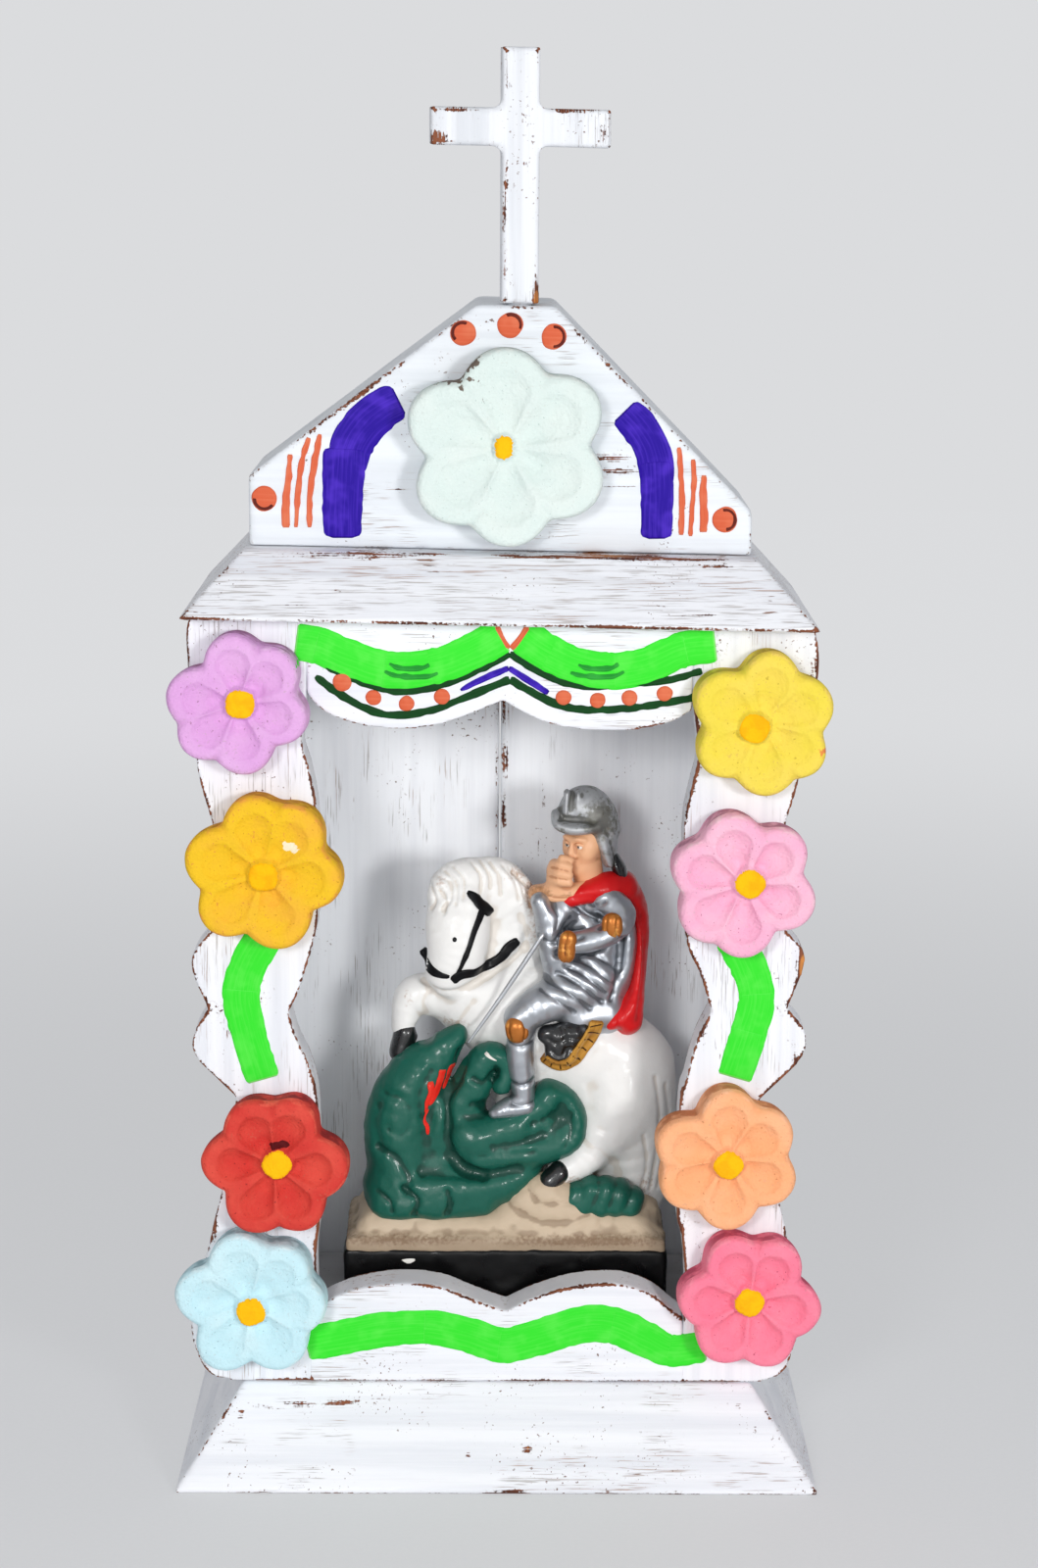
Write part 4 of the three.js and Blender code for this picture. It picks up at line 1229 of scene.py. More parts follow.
@dataclass
class Ornament:
    """Painted swags, bands, lines and dots on the frame and the gable.

    The rows of swags and bands end with the points where a new stroke starts and a seed, those
    of the gable bands with their thickness and the share of the width that their ends have. A
    mark has its middle, half length and tilt, and a dot on the gable the two angles of its arc.
    """

    frame_front: float = -38.0
    gable_front: float = -23.0
    paint_base: float = 0.12
    green: BrushPaint = BrushPaint("bright_green_paint", 0x38DF30, 0x60E850, end=0xA2F08E)
    dark: BrushPaint = BrushPaint("dark_green_paint", 0x083A14, 0x0E4C1C)
    glaze: BrushPaint = BrushPaint("thin_green_paint", 0x1C8A2C, 0x3CB444)
    orange: BrushPaint = BrushPaint("orange_red_paint", 0xD4603E, 0xE07F5C)
    purple: BrushPaint = BrushPaint("purple_paint", 0x260694, 0x5632CC, end=0x1E0670)
    brown: BrushPaint = BrushPaint("brown_line_paint", 0x5A1C14, 0x742E22)
    swags: tuple[tuple[Points, Sequence[float], Sequence[int], int], ...] = (
        (((-69.6, 300.6), (-62, 299.4), (-52, 295.2), (-38, 291), (-22, 292.4), (-10, 297.2),
          (0.5, 303)),
         (13, 13, 13.2, 13, 12.6, 12.8, 13), (1, 3, 4), 3),
        (((73.5, 300), (62, 298.4), (50, 293), (38, 291), (26, 292.9), (16, 297.4), (7.5, 303)),
         (11.6, 12.2, 12.8, 12.8, 12.6, 12.8, 13), (1, 3, 5), 5),
    )
    bands: tuple[tuple[Points, Sequence[float], Sequence[int], int], ...] = (
        (((-80, 199), (-86.5, 188), (-89.6, 176.5), (-87, 162), (-82.3, 145.6)),
         (12.6, 13, 13, 12.4, 11.8), (2,), 7),
        (((81, 198), (87, 187), (90, 176), (87, 162), (82.6, 147)),
         (13, 12.8, 12.6, 12.6, 12.2), (2, 3), 8),
        (((-68, 47.6), (-56, 50.2), (-40, 53.4), (-24, 54.3), (-10, 51.3), (2, 47.6),
          (14, 50.4), (30, 55.4), (42, 55), (54, 49.4), (62, 45.8), (74, 47.4)),
         (12.6, 13, 13, 12.8, 13, 13.2, 13.4, 14, 13.8, 13.2, 12, 11.4), (3, 5, 8, 10), 9),
    )
    swag_marks: tuple[tuple[float, float, float, float], ...] = (
        (-30.8, 292.4, 7.2, -0.03), (-30.2, 289.6, 9.5, -0.02),
        (33.6, 292.6, 7.2, 0.02), (33.2, 289.9, 9.5, 0.03),
    )
    swag_lines: Brushed = (
        (((-60.5, 293.6), (-54, 289.8), (-42, 285.2), (-33, 283.6), (-20, 286), (-6.7, 291.5),
          (3.3, 297)),
         (2.4, 2.8, 2.6, 2.6, 2.8, 2.6, 2.8)),
        (((3.3, 297), (12, 291.6), (22, 287), (34, 285.8), (47, 287), (58, 288.2), (69, 291.2)),
         (2.8, 2.6, 2.8, 2.6, 2.6, 2.6, 2.6)),
        (((-62.9, 288.8), (-56, 283.6), (-46, 277.8), (-36.8, 275.4), (-24, 277), (-12, 281.6),
          (3.4, 288)),
         (2.2, 2.8, 2.8, 2.8, 2.6, 2.8, 3)),
        (((3.4, 288), (12, 283), (22, 278.6), (34, 277.6), (46, 278.4), (58, 280.4), (68, 282.6)),
         (3, 2.8, 2.8, 2.6, 2.6, 2.6, 2.4)),
    )
    swag_dots: tuple[tuple[float, float, float], ...] = (
        (-53.8, 286.8, 3.3), (-43.2, 281.5, 2.75), (-31.8, 279.5, 2.75), (-19.7, 281.9, 2.75),
        (21.8, 281.8, 2.75), (33.5, 280.8, 2.75), (44.3, 281.7, 2.75), (56.3, 283.3, 2.75),
    )
    fork: Brushed = (
        (((-1.5, 306.5), (0.6, 302), (3.0, 298.6)), (2.4, 2.4, 2.0)),
        (((9.6, 306.5), (7, 302), (3.8, 298.6)), (2.4, 2.4, 2.0)),
    )
    chevron: Brushed = (
        (((-13.4, 284.2), (-7, 287.6), (3, 292)), (1.4, 2.2, 2.2)),
        (((3, 292), (10, 287.6), (16.6, 283.4)), (2.2, 2.2, 1.8)),
    )
    gable_bands: tuple[tuple[Points, Sequence[float], float, float], ...] = (
        (((-34.6, 381.4), (-40, 378.6), (-46, 373.6), (-50.6, 366.6), (-52.6, 358)),
         (12.6, 13.6, 14.4, 14.6, 13), 0.28, 0.72),
        (((-53.4, 365.5), (-53.8, 355), (-54.2, 344), (-54.2, 334.4)),
         (14.6, 14.6, 13.6, 12.6), 0.4, 0.5),
        (((42, 378.2), (47, 373), (51, 366.8), (53, 360), (53.4, 352.4)),
         (11.6, 12.4, 12.2, 12, 11.4), 0.28, 0.72),
        (((52.8, 361.5), (53.4, 352), (53.4, 343), (53.6, 334.6)),
         (11.6, 11.2, 11, 10.6), 0.4, 0.5),
    )
    gable_lines: Brushed = (
        (((-71.9, 363), (-72.6, 354.8), (-73.5, 346.4), (-73.4, 337.9)), (1.6, 2.4, 2.8, 2.8)),
        (((-65.5, 368.7), (-67.8, 360.9), (-69.3, 350), (-70.1, 338)), (1.4, 1.8, 1.8, 1.6)),
        (((-61.7, 369.9), (-63.5, 360.9), (-65.2, 350), (-65.5, 338)), (1.8, 2.2, 2, 1.6)),
        (((60.8, 366), (61.7, 355.5), (62.1, 345.8), (61.8, 336)), (1.4, 2, 2, 1.8)),
        (((65.6, 361.9), (66.1, 353.1), (65.5, 344.6), (65.2, 335.6)), (1.4, 1.8, 1.8, 1.6)),
        (((69.4, 356.5), (69.3, 349.5), (69.6, 343.4), (69.7, 337)), (1.8, 2.4, 2.8, 2.8)),
    )
    gable_dots: tuple[tuple[float, float, float, float], ...] = (
        (-13, 404.4, 60, 230), (3.1, 407.2, -30, 120), (17.8, 403.3, -100, 100),
        (-80.8, 347.8, 170, 330), (76.9, 341.3, -90, 110),
    )
    dot_radius: float = 4.4
    arc_radius: float = 3.5
    arc_width: float = 1.1

    def _flat(self, level: float) -> Heights:
        """Gives a flat ground at one Y."""
        return lambda x, z: level + self.paint_base

    def _lay(self, name: str, shells: Sequence[Shell], paint: BrushPaint) -> None:
        """Joins strokes of one paint into a piece on the shrine."""
        place(joined(shells).thing(name, paint.material()), Body.SHRINE, "white_painted_wood")

    def _on_frame(self) -> None:
        """Paints the stiles, the rail and the valance."""
        g = self._flat(self.frame_front)
        for name, rows in (("green_swags", self.swags), ("green_bands", self.bands)):
            laid = [strokes(line, width, g, starts, seed) for line, width, starts, seed in rows]
            self._lay(name, [shell for shells in laid for shell in shells], self.green)
        marks = []
        for x, z, half, tilt in self.swag_marks:
            line = (
                (x - half, z + 1 - tilt * half), (x - half / 2, z - 0.5),
                (x + half / 2, z - 0.6), (x + half, z + 0.8 + tilt * half),
            )
            marks.append(stroke(line, (1.3, 1.8, 1.9, 1.2), g, 0.8, 0.4, seed=int(z), sink=0.3))
        self._lay("swag_marks", marks, self.glaze)
        lines = [stroke(*row, g, seed=11 + i) for i, row in enumerate(self.swag_lines)]
        self._lay("dark_green_lines", lines, self.dark)
        dots = [dab(*row, g, 0.45, 40 + i) for i, row in enumerate(self.swag_dots)]
        self._lay("orange_dots", dots, self.orange)
        for name, rows, first, paint in (
            ("orange_fork", self.fork, 17, self.orange),
            ("purple_chevron", self.chevron, 19, self.purple),
        ):
            arms = [stroke(*row, g, 0.4, 0.2, first + i) for i, row in enumerate(rows)]
            self._lay(name, arms, paint)

    def _on_gable(self) -> None:
        """Paints the gable."""
        g = self._flat(self.gable_front)
        bands = [
            stroke(line, width, g, thick, seed=21 + i, blunt=blunt)
            for i, (line, width, thick, blunt) in enumerate(self.gable_bands)
        ]
        self._lay("purple_bands", bands, self.purple)
        lines = [stroke(*row, g, seed=25 + i) for i, row in enumerate(self.gable_lines)]
        arcs = []
        for i, (x, z, start, end) in enumerate(self.gable_dots):
            lines.append(dab(x, z, self.dot_radius, g, 0.4, 50 + i))
            line = arc(x, z, self.arc_radius, start, end)
            arcs.append(stroke(line, self.arc_width, g, 0.55, 0.15, 60 + i, sink=0.2))
        self._lay("orange_gable_paint", lines, self.orange)
        self._lay("dark_gable_arcs", arcs, self.brown)

    def build(self) -> None:
        """Paints all the ornament."""
        self._on_frame()
        self._on_gable()


@dataclass
class Flower:
    """One modelled flower: six lobes with a spoon-shaped hollow each and a stub in the middle."""

    name: str
    middle: tuple[float, float]
    boss: tuple[float, float]
    size: float
    lobes: tuple[float, ...]
    finish: ChalkPaint
    back: float = -38.0
    thick: float = 12.0
    boss_size: tuple[float, float] = (5.6, 5.4)
    scoop_depth: float = 2.6
    draft: float = -0.03
    broad: float = 1.0
    smudges: Spots = ()
    rings: int = 40
    sides: int = 168
    wall_rings: int = 7
    lobe_away: float = 0.275
    lobe_wide: float = 0.205
    lobe_long: float = 0.225
    crease_depth: float = 1.6
    dish_depth: float = 2.2
    boss_rise: float = 0.8
    curl: float = 2.8
    rubbed: float = 1.3

    def _petals(self, x: np.ndarray, z: np.ndarray) -> np.ndarray:
        """Gives the distance to each lobe's disc, negative inside."""
        turns = np.radians(self.lobes)
        away = self.lobe_away * self.size
        wide = self.lobe_wide * self.size * (1 + 0.05 * np.sin(turns * 3 + self.size))
        long = self.lobe_long * self.size
        along = x[..., None] * np.cos(turns) + z[..., None] * np.sin(turns) - away
        across = -x[..., None] * np.sin(turns) + z[..., None] * np.cos(turns)
        return (np.hypot(along / long, across / wide) - 1) * wide

    def _outline(self, turn: np.ndarray) -> np.ndarray:
        """Gives how far the flower reaches at each angle."""
        far = np.linspace(0.25 * self.size, 0.56 * self.size, 160)
        x = far[None] * np.cos(turn)[:, None]
        z = far[None] * np.sin(turn)[:, None]
        depth = self._petals(x, z)
        soft = -1.2 * np.log(np.exp(-depth / 1.2).sum(-1))
        inside = soft < 0
        last = len(far) - 1 - np.argmax(inside[:, ::-1], axis=1)
        reach = far[last]
        for _ in range(2):
            reach = 0.5 * reach + 0.25 * (np.roll(reach, 1) + np.roll(reach, -1))
        return reach

    def _top(self, x: np.ndarray, z: np.ndarray) -> tuple[np.ndarray, np.ndarray, np.ndarray]:
        """Gives the height of the top, the painted shade of its scoops and creases, and the boss at
        places on the flower.
        """
        turns = np.radians(self.lobes)
        along = x[..., None] * np.cos(turns) + z[..., None] * np.sin(turns)
        across = -x[..., None] * np.sin(turns) + z[..., None] * np.cos(turns)
        share = along / self.size
        inner = 0.04 + 0.085 * np.clip((share - 0.09) / 0.18, 0, 1)
        outer = np.clip((share - 0.27) / 0.125, 0, 3)
        round_off = (across / self.size / inner) ** 2 + outer**2
        scoop = np.clip(1 - round_off, 0, 1) ** 0.8 * np.clip((share - 0.05) / 0.12, 0, 1)
        scoop = np.where(along > 0, scoop, 0).max(-1)
        depth = np.sort(self._petals(x, z), axis=-1)
        gap = np.exp(-(((depth[..., 1] - depth[..., 0]) / 1.5) ** 2))
        far = np.hypot(x, z) / self.size
        crease = gap * np.clip((far - 0.3) / 0.14, 0, 1)
        dish = np.exp(-((far / 0.2) ** 4))
        dx, dz = x - self.boss[0], z - self.boss[1]
        wide_boss, high_boss = self.boss_size
        wobble = 1 + 0.035 * np.sin(4 * np.arctan2(dz, dx) + self.size)
        from_boss = np.hypot(dx / wide_boss, dz / high_boss) / wobble
        boss = np.clip((1.06 - from_boss) / 0.14, 0, 1)
        height = self.thick - 1.15 * self.scoop_depth * scoop
        height = height - self.crease_depth * crease - self.dish_depth * dish
        stub = self.thick + self.boss_rise - 0.35 * from_boss**2
        height = height * (1 - boss) + np.maximum(stub, height) * boss
        paint = np.clip((0.96 - from_boss) / 0.08, 0, 1)
        # The second value is painted shade: how dark the scoops and creases are painted.
        return height, np.clip(0.5 * scoop + crease, 0, 1) * (1 - boss), paint

    def build(self) -> None:
        """Models the flower and places it on the shrine."""
        turn = np.linspace(0, 2 * math.pi, self.sides, endpoint=False)
        reach = self._outline(turn)
        curl = self.curl
        shares = np.linspace(0, 1, self.rings + 1)[1:] ** 0.85
        rows, marks = [], {"hollow": [], "rim": [], "wall": [], "boss": []}
        ring_x, ring_z = np.cos(turn), np.sin(turn)
        for share in shares:
            far = reach * share
            x, z = far * ring_x, far * ring_z
            height, hollow, paint = self._top(x, z)
            inset = reach * (1 - share)
            drop = curl - np.sqrt(np.clip(curl**2 - np.clip(curl - inset, 0, curl) ** 2, 0, None))
            rows.append(np.column_stack([x, height - drop, z]))
            rim = np.clip(1.5 - inset / self.rubbed, 0, 1)
            # hollow carries painted shade for the scoops and creases; wall marks the walls, whose
            # upward parts get painted shade.
            for key, value in zip(marks, (hollow * (1 - rim), rim, 0 * rim, paint)):
                marks[key].append(value)
        crown = rows[-1]
        lean = np.array([0.012 * self.middle[0], 0.0, -0.5])
        rows = [row + lean for row in rows]
        for step in range(1, self.wall_rings + 1):
            down = step / self.wall_rings
            spread = 1 + 0.012 * math.sin(math.pi * down) + self.draft * down
            level = crown[:, 1] * (1 - down)
            row = np.column_stack([crown[:, 0] * spread, level, crown[:, 2] * spread])
            rows.append(row + lean * (1 - down))
            for key, value in zip(marks, (0, 1 - down, 1, 0)):
                marks[key].append(np.full(self.sides, float(value)))
        top_height, top_hollow, top_paint = self._top(np.zeros(1), np.zeros(1))
        points = np.vstack([[lean + (0, top_height[0], 0)], *rows, [(0, 0, 0)]])
        for key, value in zip(marks, (top_hollow[0], 0, 0, top_paint[0])):
            marks[key] = np.concatenate([[value], *marks[key], [0.0]])
        marks["smudge"] = spotted(points, self.smudges)
        rough = lumps(points + self.size, 4.5, 3) * 0.28 + lumps(points + self.size, 1.9, 5) * 0.12
        above = np.clip(points[:, 1] / 3, 0, 1)
        points[:, 1] += rough * above
        points[:, 0] *= 1 + 0.006 * rough * above
        points[:, 1] *= min(1.0, (self.thick + 0.95) / points[:, 1].max())
        x, z = self.middle
        world = np.column_stack(
            [points[:, 0] * self.broad + x, self.back - points[:, 1], points[:, 2] + z]
        )
        shell = Shell(world, ring_faces(self.sides, len(rows)), marks)
        piece = shell.thing(self.name + "_clay", self.finish.material())
        place(piece, Body.SHRINE, self.name + "_paint", (self.name,))


@dataclass
class Bouquet:
    """The nine flowers."""

    gable_back: float = -23.0
    gable_thick: float = 14.0

    def build(self) -> None:
        """Models every flower."""
        rows = (
            ("flower_violet", (-87.75, 281.1), (1.0, 0.4), 49, 2.2, (96, 43, -18, -83, -138, 172),
             (0xDDA4DC, 0x93637F, 0xEAC0E6, 0x4BC83C), ((20.4, 13.4, 3.0, 2.6, 1.0),)),
            ("flower_amber", (-79.9, 222.3), (0.3, -0.6), 55, 2.0, (100, 53, -7, -73, -135, 164),
             (0xEFC024, 0xB87A14, 0xF2A04C, 0xF4E8CC), ((10.4, 8.8, 4.4, 3.2, 1.0),)),
            ("flower_red", (-77, 117.4), (1.0, 1.4), 51.6, 3.2, (117, 70, -2, -61, -115, 175),
             (0xD13A33, 0x7C1A1E, 0xF06A55, 0x5A1418), ((1.4, 7.2, 4.6, 2.3, 1.0),)),
            ("flower_sky", (-86.1, 66.3), (0.6, -1.6), 53.8, 1.8, (102, 49, 0, -54, -122, 167),
             (0xC6E9F1, 0x86A9B2, 0xDDF1F4), ()),
            ("flower_yellow", (88.2, 275.2), (-2.8, -1.2), 50.4, 1.5, (80, 23, -37, -85, -143, 150),
             (0xECD549, 0xB79A2E, 0xF6D36A, 0xE88A4A), ((21.6, -10.6, 2.6, 3.6, 1.0),)),
            ("flower_rose", (83, 218.9), (2.0, 1.0), 51.6, 3.0, (105, 42, -21, -90, -139, 160),
             (0xF3AFCB, 0xA8647F, 0xF8CFD9), ()),
            ("flower_peach", (79, 120.5), (0.4, -1.2), 51.5, 2.2, (88, 34, -25, -88, -148, 161),
             (0xF9AF7C, 0xBD6C40, 0xFFC29A), ()),
            ("flower_coral", (88, 68.2), (-0.4, 0.6), 50.8, 2.6, (112, 58, -10, -67, -124, 178),
             (0xF87E98, 0xB33F5C, 0xFF9CAE), ()),
        )
        for name, middle, boss, size, scoop, lobes, paints, smudges in rows:
            finish = ChalkPaint(name + "_chalk", *paints)
            Flower(
                name, middle, boss, size, lobes, finish, scoop_depth=scoop, smudges=smudges
            ).build()
        white = ChalkPaint("flower_white_chalk", 0xD8E5E0, 0xB3C4BE, 0xE6ECE6, 0x6E6258)
        Flower(
            "flower_white", (2, 367), (-0.9, 0.4), 67.2, (92, 34, -31, -88, -140, 154), white,
            self.gable_back, self.gable_thick, boss_size=(3.2, 4.5), scoop_depth=2.0, broad=1.07,
            smudges=((-15.0, 25.0, 9.0, 7.0, 1.0),), sides=192,
        ).build()


# Distance in an empty block, in millimetres.
FAR = 30.0


class Block:
    """Distances on a block of grid points, built up form by form."""

    def __init__(self, low: Sequence[float], high: Sequence[float], step: float) -> None:
        """Starts an empty block.

        Args:
            low: lowest corner in the figurine's frame, in millimetres.
            high: highest corner.
            step: distance from grid point to grid point.
        """
        self.low = np.array(low, float)
        self.step = step
        self.axes = [np.arange(a, b, step) for a, b in zip(low, high)]
        self.far = np.full([len(axis) for axis in self.axes], FAR, np.float32)

    def _window(self, low: np.ndarray, high: np.ndarray) -> tuple[slice, ...]:
        """Gives the part of the block between two corners."""
        return tuple(
            slice(max(0, int((a - o) / self.step)), min(len(axis), int((b - o) / self.step) + 2))
            for a, b, o, axis in zip(low, high, self.low, self.axes)
        )

    def _limb(self, stations: Points, margin: float) -> tuple[tuple[slice, ...], np.ndarray]:
        """Measures the distance to one limb around it."""
        rows = smooth_line(stations, 3)
        middles, girth = rows[:, :3], rows[:, 3:5].max(1)[:, None]
        window = self._window(
            (middles - girth).min(0) - margin, (middles + girth).max(0) + margin
        )
        x, y, z = np.ix_(*(axis[part] for axis, part in zip(self.axes, window)))
        best = np.full((x.size, y.size, z.size), FAR, np.float32)
        for a, b in zip(rows, rows[1:]):
            flat = (a[3] + b[3]) / (a[4] + b[4])
            way = np.array([b[0] - a[0], (b[1] - a[1]) * flat, b[2] - a[2]])
            px, py, pz = x - a[0], (y - a[1]) * flat, z - a[2]
            t = np.clip((px * way[0] + py * way[1] + pz * way[2]) / max(way @ way, 1e-6), 0, 1)
            px, py, pz = px - t * way[0], py - t * way[1], pz - t * way[2]
            reach = np.sqrt(px**2 + py**2 + pz**2)
            near = (reach - (a[3] + (b[3] - a[3]) * t)) * min(1.0, 1 / flat)
            best = np.minimum(best, near)
        return window, best

    def add(self, stations: Points, soft: float) -> None:
        """Adds a limb and blends it in.

        Args:
            stations: X, Y, Z, half width and half depth at points along the limb.
            soft: millimetres over which it blends.
        """
        window, near = self._limb(stations, soft + 2)
        old = self.far[window]
        share = np.clip(0.5 + 0.5 * (old - near) / soft, 0, 1)
        self.far[window] = old + (near - old) * share - soft * share * (1 - share)

    def add_box(
        self, low: Sequence[float], high: Sequence[float], edge: float, soft: float
    ) -> None:
        """Adds a box with rounded edges and blends it in.

        Args:
            low: lowest corner.
            high: highest corner.
            edge: radius of its edges.
            soft: millimetres over which it blends.
        """
        middle = (np.array(low) + high) / 2
        half = (np.array(high) - low) / 2 - edge
        apart = [np.abs(axis - m) - h for axis, m, h in zip(self.axes, middle, half)]
        outside = np.sqrt(sum(grid**2 for grid in np.ix_(*(np.maximum(a, 0) for a in apart))))
        inside = np.minimum(np.maximum.reduce(np.broadcast_arrays(*np.ix_(*apart))), 0)
        near = (outside + inside - edge).astype(np.float32)
        share = np.clip(0.5 + 0.5 * (self.far - near) / soft, 0, 1)
        self.far += (near - self.far) * share - soft * share * (1 - share)

    def cut(self, stations: Points, soft: float = 1.0) -> None:
        """Takes a limb's shape away."""
        window, near = self._limb(stations, soft + 2)
        old = self.far[window]
        share = np.clip(0.5 - 0.5 * (old + near) / soft, 0, 1)
        self.far[window] = old + (-near - old) * share + soft * share * (1 - share)

    def shell(self) -> Shell:
        """Nets the surface where the distance is nought."""
        far = self.far
        inside = far < 0
        cells = tuple(n - 1 for n in far.shape)
        count = np.zeros(cells, np.float32)
        total = np.zeros(cells + (3,), np.float32)
        quads = []
        for axis in range(3):
            others = [i for i in range(3) if i != axis]
            first = [slice(None)] * 3
            second = [slice(None)] * 3
            first[axis], second[axis] = slice(0, -1), slice(1, None)
            a, b = far[tuple(first)], far[tuple(second)]
            crossing = inside[tuple(first)] != inside[tuple(second)]
            where = np.argwhere(crossing)
            share = a[crossing] / (a[crossing] - b[crossing])
            spot = where.astype(np.float32)
            spot[:, axis] += share
            corners = []
            for du, dv in ((0, 0), (1, 0), (1, 1), (0, 1)):
                cell = where.copy()
                cell[:, others[0]] -= du
                cell[:, others[1]] -= dv
                fits = np.all((cell >= 0) & (cell < cells), axis=1)
                index = tuple(cell[fits].T)
                np.add.at(count, index, 1)
                np.add.at(total, index, spot[fits])
                number = np.ravel_multi_index(np.clip(cell, 0, np.array(cells) - 1).T, cells)
                corners.append(np.where(fits, number, -1))
            quad = np.stack(corners, 1)
            flip = inside[tuple(first)][crossing] != (axis == 1)
            quad[~flip] = quad[~flip][:, ::-1]
            quads.append(quad[np.all(quad >= 0, axis=1)])
        used = np.flatnonzero(count.ravel())
        number = np.full(count.size, -1)
        number[used] = np.arange(len(used))
        spots = total.reshape(-1, 3)[used] / count.ravel()[used, None]
        faces = number[np.vstack(quads)]
        return Shell(self.low + spots * self.step, faces.tolist())


@dataclass
class CastPiece:
    """One painted part of the cast: limbs melted together, with lines pressed into it.

    A limb has its stations and the millimetres over which it blends, a box its two corners, the
    radius of its edges and its blend, and a line its places, width and depth.
    """

    name: str
    finish: CastPaint
    limbs: Sequence[tuple[Points, float]] = ()
    boxes: Sequence[tuple[Sequence[float], Sequence[float], float, float]] = ()
    holes: Sequence[Points] = ()
    lines: Sequence[tuple[Points, float, float]] = ()
    step: float = 0.75
    lumpy: float = 0.25
    relax: int = 1
    dirty_below: float = -9.0
    smears: Spots = ()


@dataclass
class CastFigurine:
    """The cast horseman and dragon on their base, and the lance."""

    origin: tuple[float, float, float] = (2.8, 8.0, 52.0)
    head: tuple[float, float, float] = (28.6, -0.6, 168.4)
    head_turn: float = 42.0
    head_nod: float = 6.0
    opening: Points = ((-29.5, -26, 100.5, 3.7, 3.7), (-29.5, 26, 100.5, 3.7, 3.7))
    lance_top: tuple[float, float, float] = (13.0, -17.6, 139.5)
    lance_tip: tuple[float, float, float] = (-13.6, -16.5, 99.0)
    seen: list[BVHTree] = field(default_factory=list)

    def _piece(self, part: CastPiece) -> bpy.types.Object:
        """Models one part of the cast."""
        ends = [np.asarray(limb, float) for limb, _ in part.limbs]
        rows = [row for limb in ends for row in limb]
        corners = [row[:3] + side * (row[3:5].max() + 3) for row in rows for side in (-1, 1)]
        for low, high, _, _ in part.boxes:
            corners += [np.subtract(low, 3), np.add(high, 3)]
        block = Block(np.min(corners, axis=0), np.max(corners, axis=0), part.step)
        for low, high, edge, soft in part.boxes:
            block.add_box(low, high, edge, soft)
        for limb, soft in part.limbs:
            block.add(limb, soft)
        for hole in part.holes:
            block.cut(hole)
        piece = block.shell().thing(part.name)
        surface = Surface(piece.data)
        surface.relax(part.relax)
        for line, width, depth in part.lines:
            surface.engrave(line, width, depth)
        normal = surface.normals()
        seed = len(part.name)
        rough = lumps(surface.points, 6, seed) + 0.5 * lumps(surface.points, 2.4, seed + 1)
        surface.points -= normal * (part.lumpy * rough)[:, None]
        surface.relax(1, 0.3)
        hollow = np.clip(-surface.bulge(7) / (0.03 * part.step), 0, 1)
        foot = np.clip((part.dirty_below - surface.points[:, 2]) / 4, 0, 1)
        hollow = np.maximum(hollow, 0.9 * foot)
        grime = spotted(surface.points, part.smears)
        surface.points += np.array(self.origin)
        surface.normals()
        mark(piece.data, "hollow", hollow)
        mark(piece.data, "grime", grime)
        piece.data.materials.append(part.finish.material())
        self._see(piece)
        return piece

    def _see(self, piece: bpy.types.Object) -> None:
        """Remembers a surface, so that paint can be laid on it."""
        points = [tuple(v.co / MM - Vector(self.origin)) for v in piece.data.vertices]
        faces = [tuple(face.vertices) for face in piece.data.polygons]
        self.seen.append(BVHTree.FromPolygons(points, faces))

    def _ground(self, x: float, z: float) -> float:
        """Gives the Y of the foremost surface at a place in the front view."""
        found = [tree.ray_cast(Vector((x, -60, z)), Vector((0, 1, 0)))[0] for tree in self.seen]
        depths = [spot.y for spot in found if spot is not None]
        return min(depths) if depths else 0.0

    def _paint(self, name: str, shells: Sequence[Shell], finish: BrushPaint) -> None:
        """Lays strokes on the cast as one piece, which later strokes lie on."""
        shell = joined(shells)
        shell.points = shell.points + np.array(self.origin)
        piece = shell.thing(name, finish.material())
        self._see(piece)
        place(piece, Body.FIGURINE, "painted_plaster")

    def _base_parts(self) -> list[CastPiece]:
        """Lists the black base and the sandy ground with its rock."""
        black = CastPaint(
            "gloss_black_base", 0x060607, 0x1C1A18, 0.25, hollow_tint=0.3, chips=0.2, grain=0.06, gloss=0.2
        )
        sand = CastPaint(
            "sand_ground_paint", 0xC8B49A, 0x6B5036, 0.55, hollow_tint=0.5, grain=0.25, smear=0x7A5F45
        )
        return [
            CastPiece("cast_base", black, boxes=(((-58.4, -25, 0), (58.4, 25, 24), 1.6, 1.0),),
                      step=0.9, relax=2),
            CastPiece("cast_ground", sand, (
                (((2, -12, 31, 8, 8), (8, -13, 37, 9, 8), (15, -13, 41, 8.5, 8),
                  (21, -11, 37, 7, 8)), 4.0),
                (((16, -16, 33, 10, 6), (27, -16, 33, 8, 6)), 4.0),
                (((40, -4, 32, 10, 12), (49, -2, 32, 7, 12)), 4.0),
                (((-44, -8, 32, 7, 10), (-30, -10, 32, 6, 8)), 4.0),
            ), boxes=(
                ((-57.6, -24.4, 22), (57.6, 24.4, 27.6), 1.4, 1.0),
                ((-53.5, -20.5, 22), (54, 21, 34.8), 5.0, 6.0),
            ), lines=(
                (((-3, 43), (4, 37), (12, 33.6), (22, 33.4), (30, 36)), 1.6, 1.0),
                (((8, 45), (12, 41), (20, 40), (26, 41)), 1.3, 0.8),
            ), lumpy=0.45, dirty_below=30.0,
                      smears=((-38, 27, 34, 2.2, 0.8), (30, 27, 44, 2.4, 0.85))),
        ]

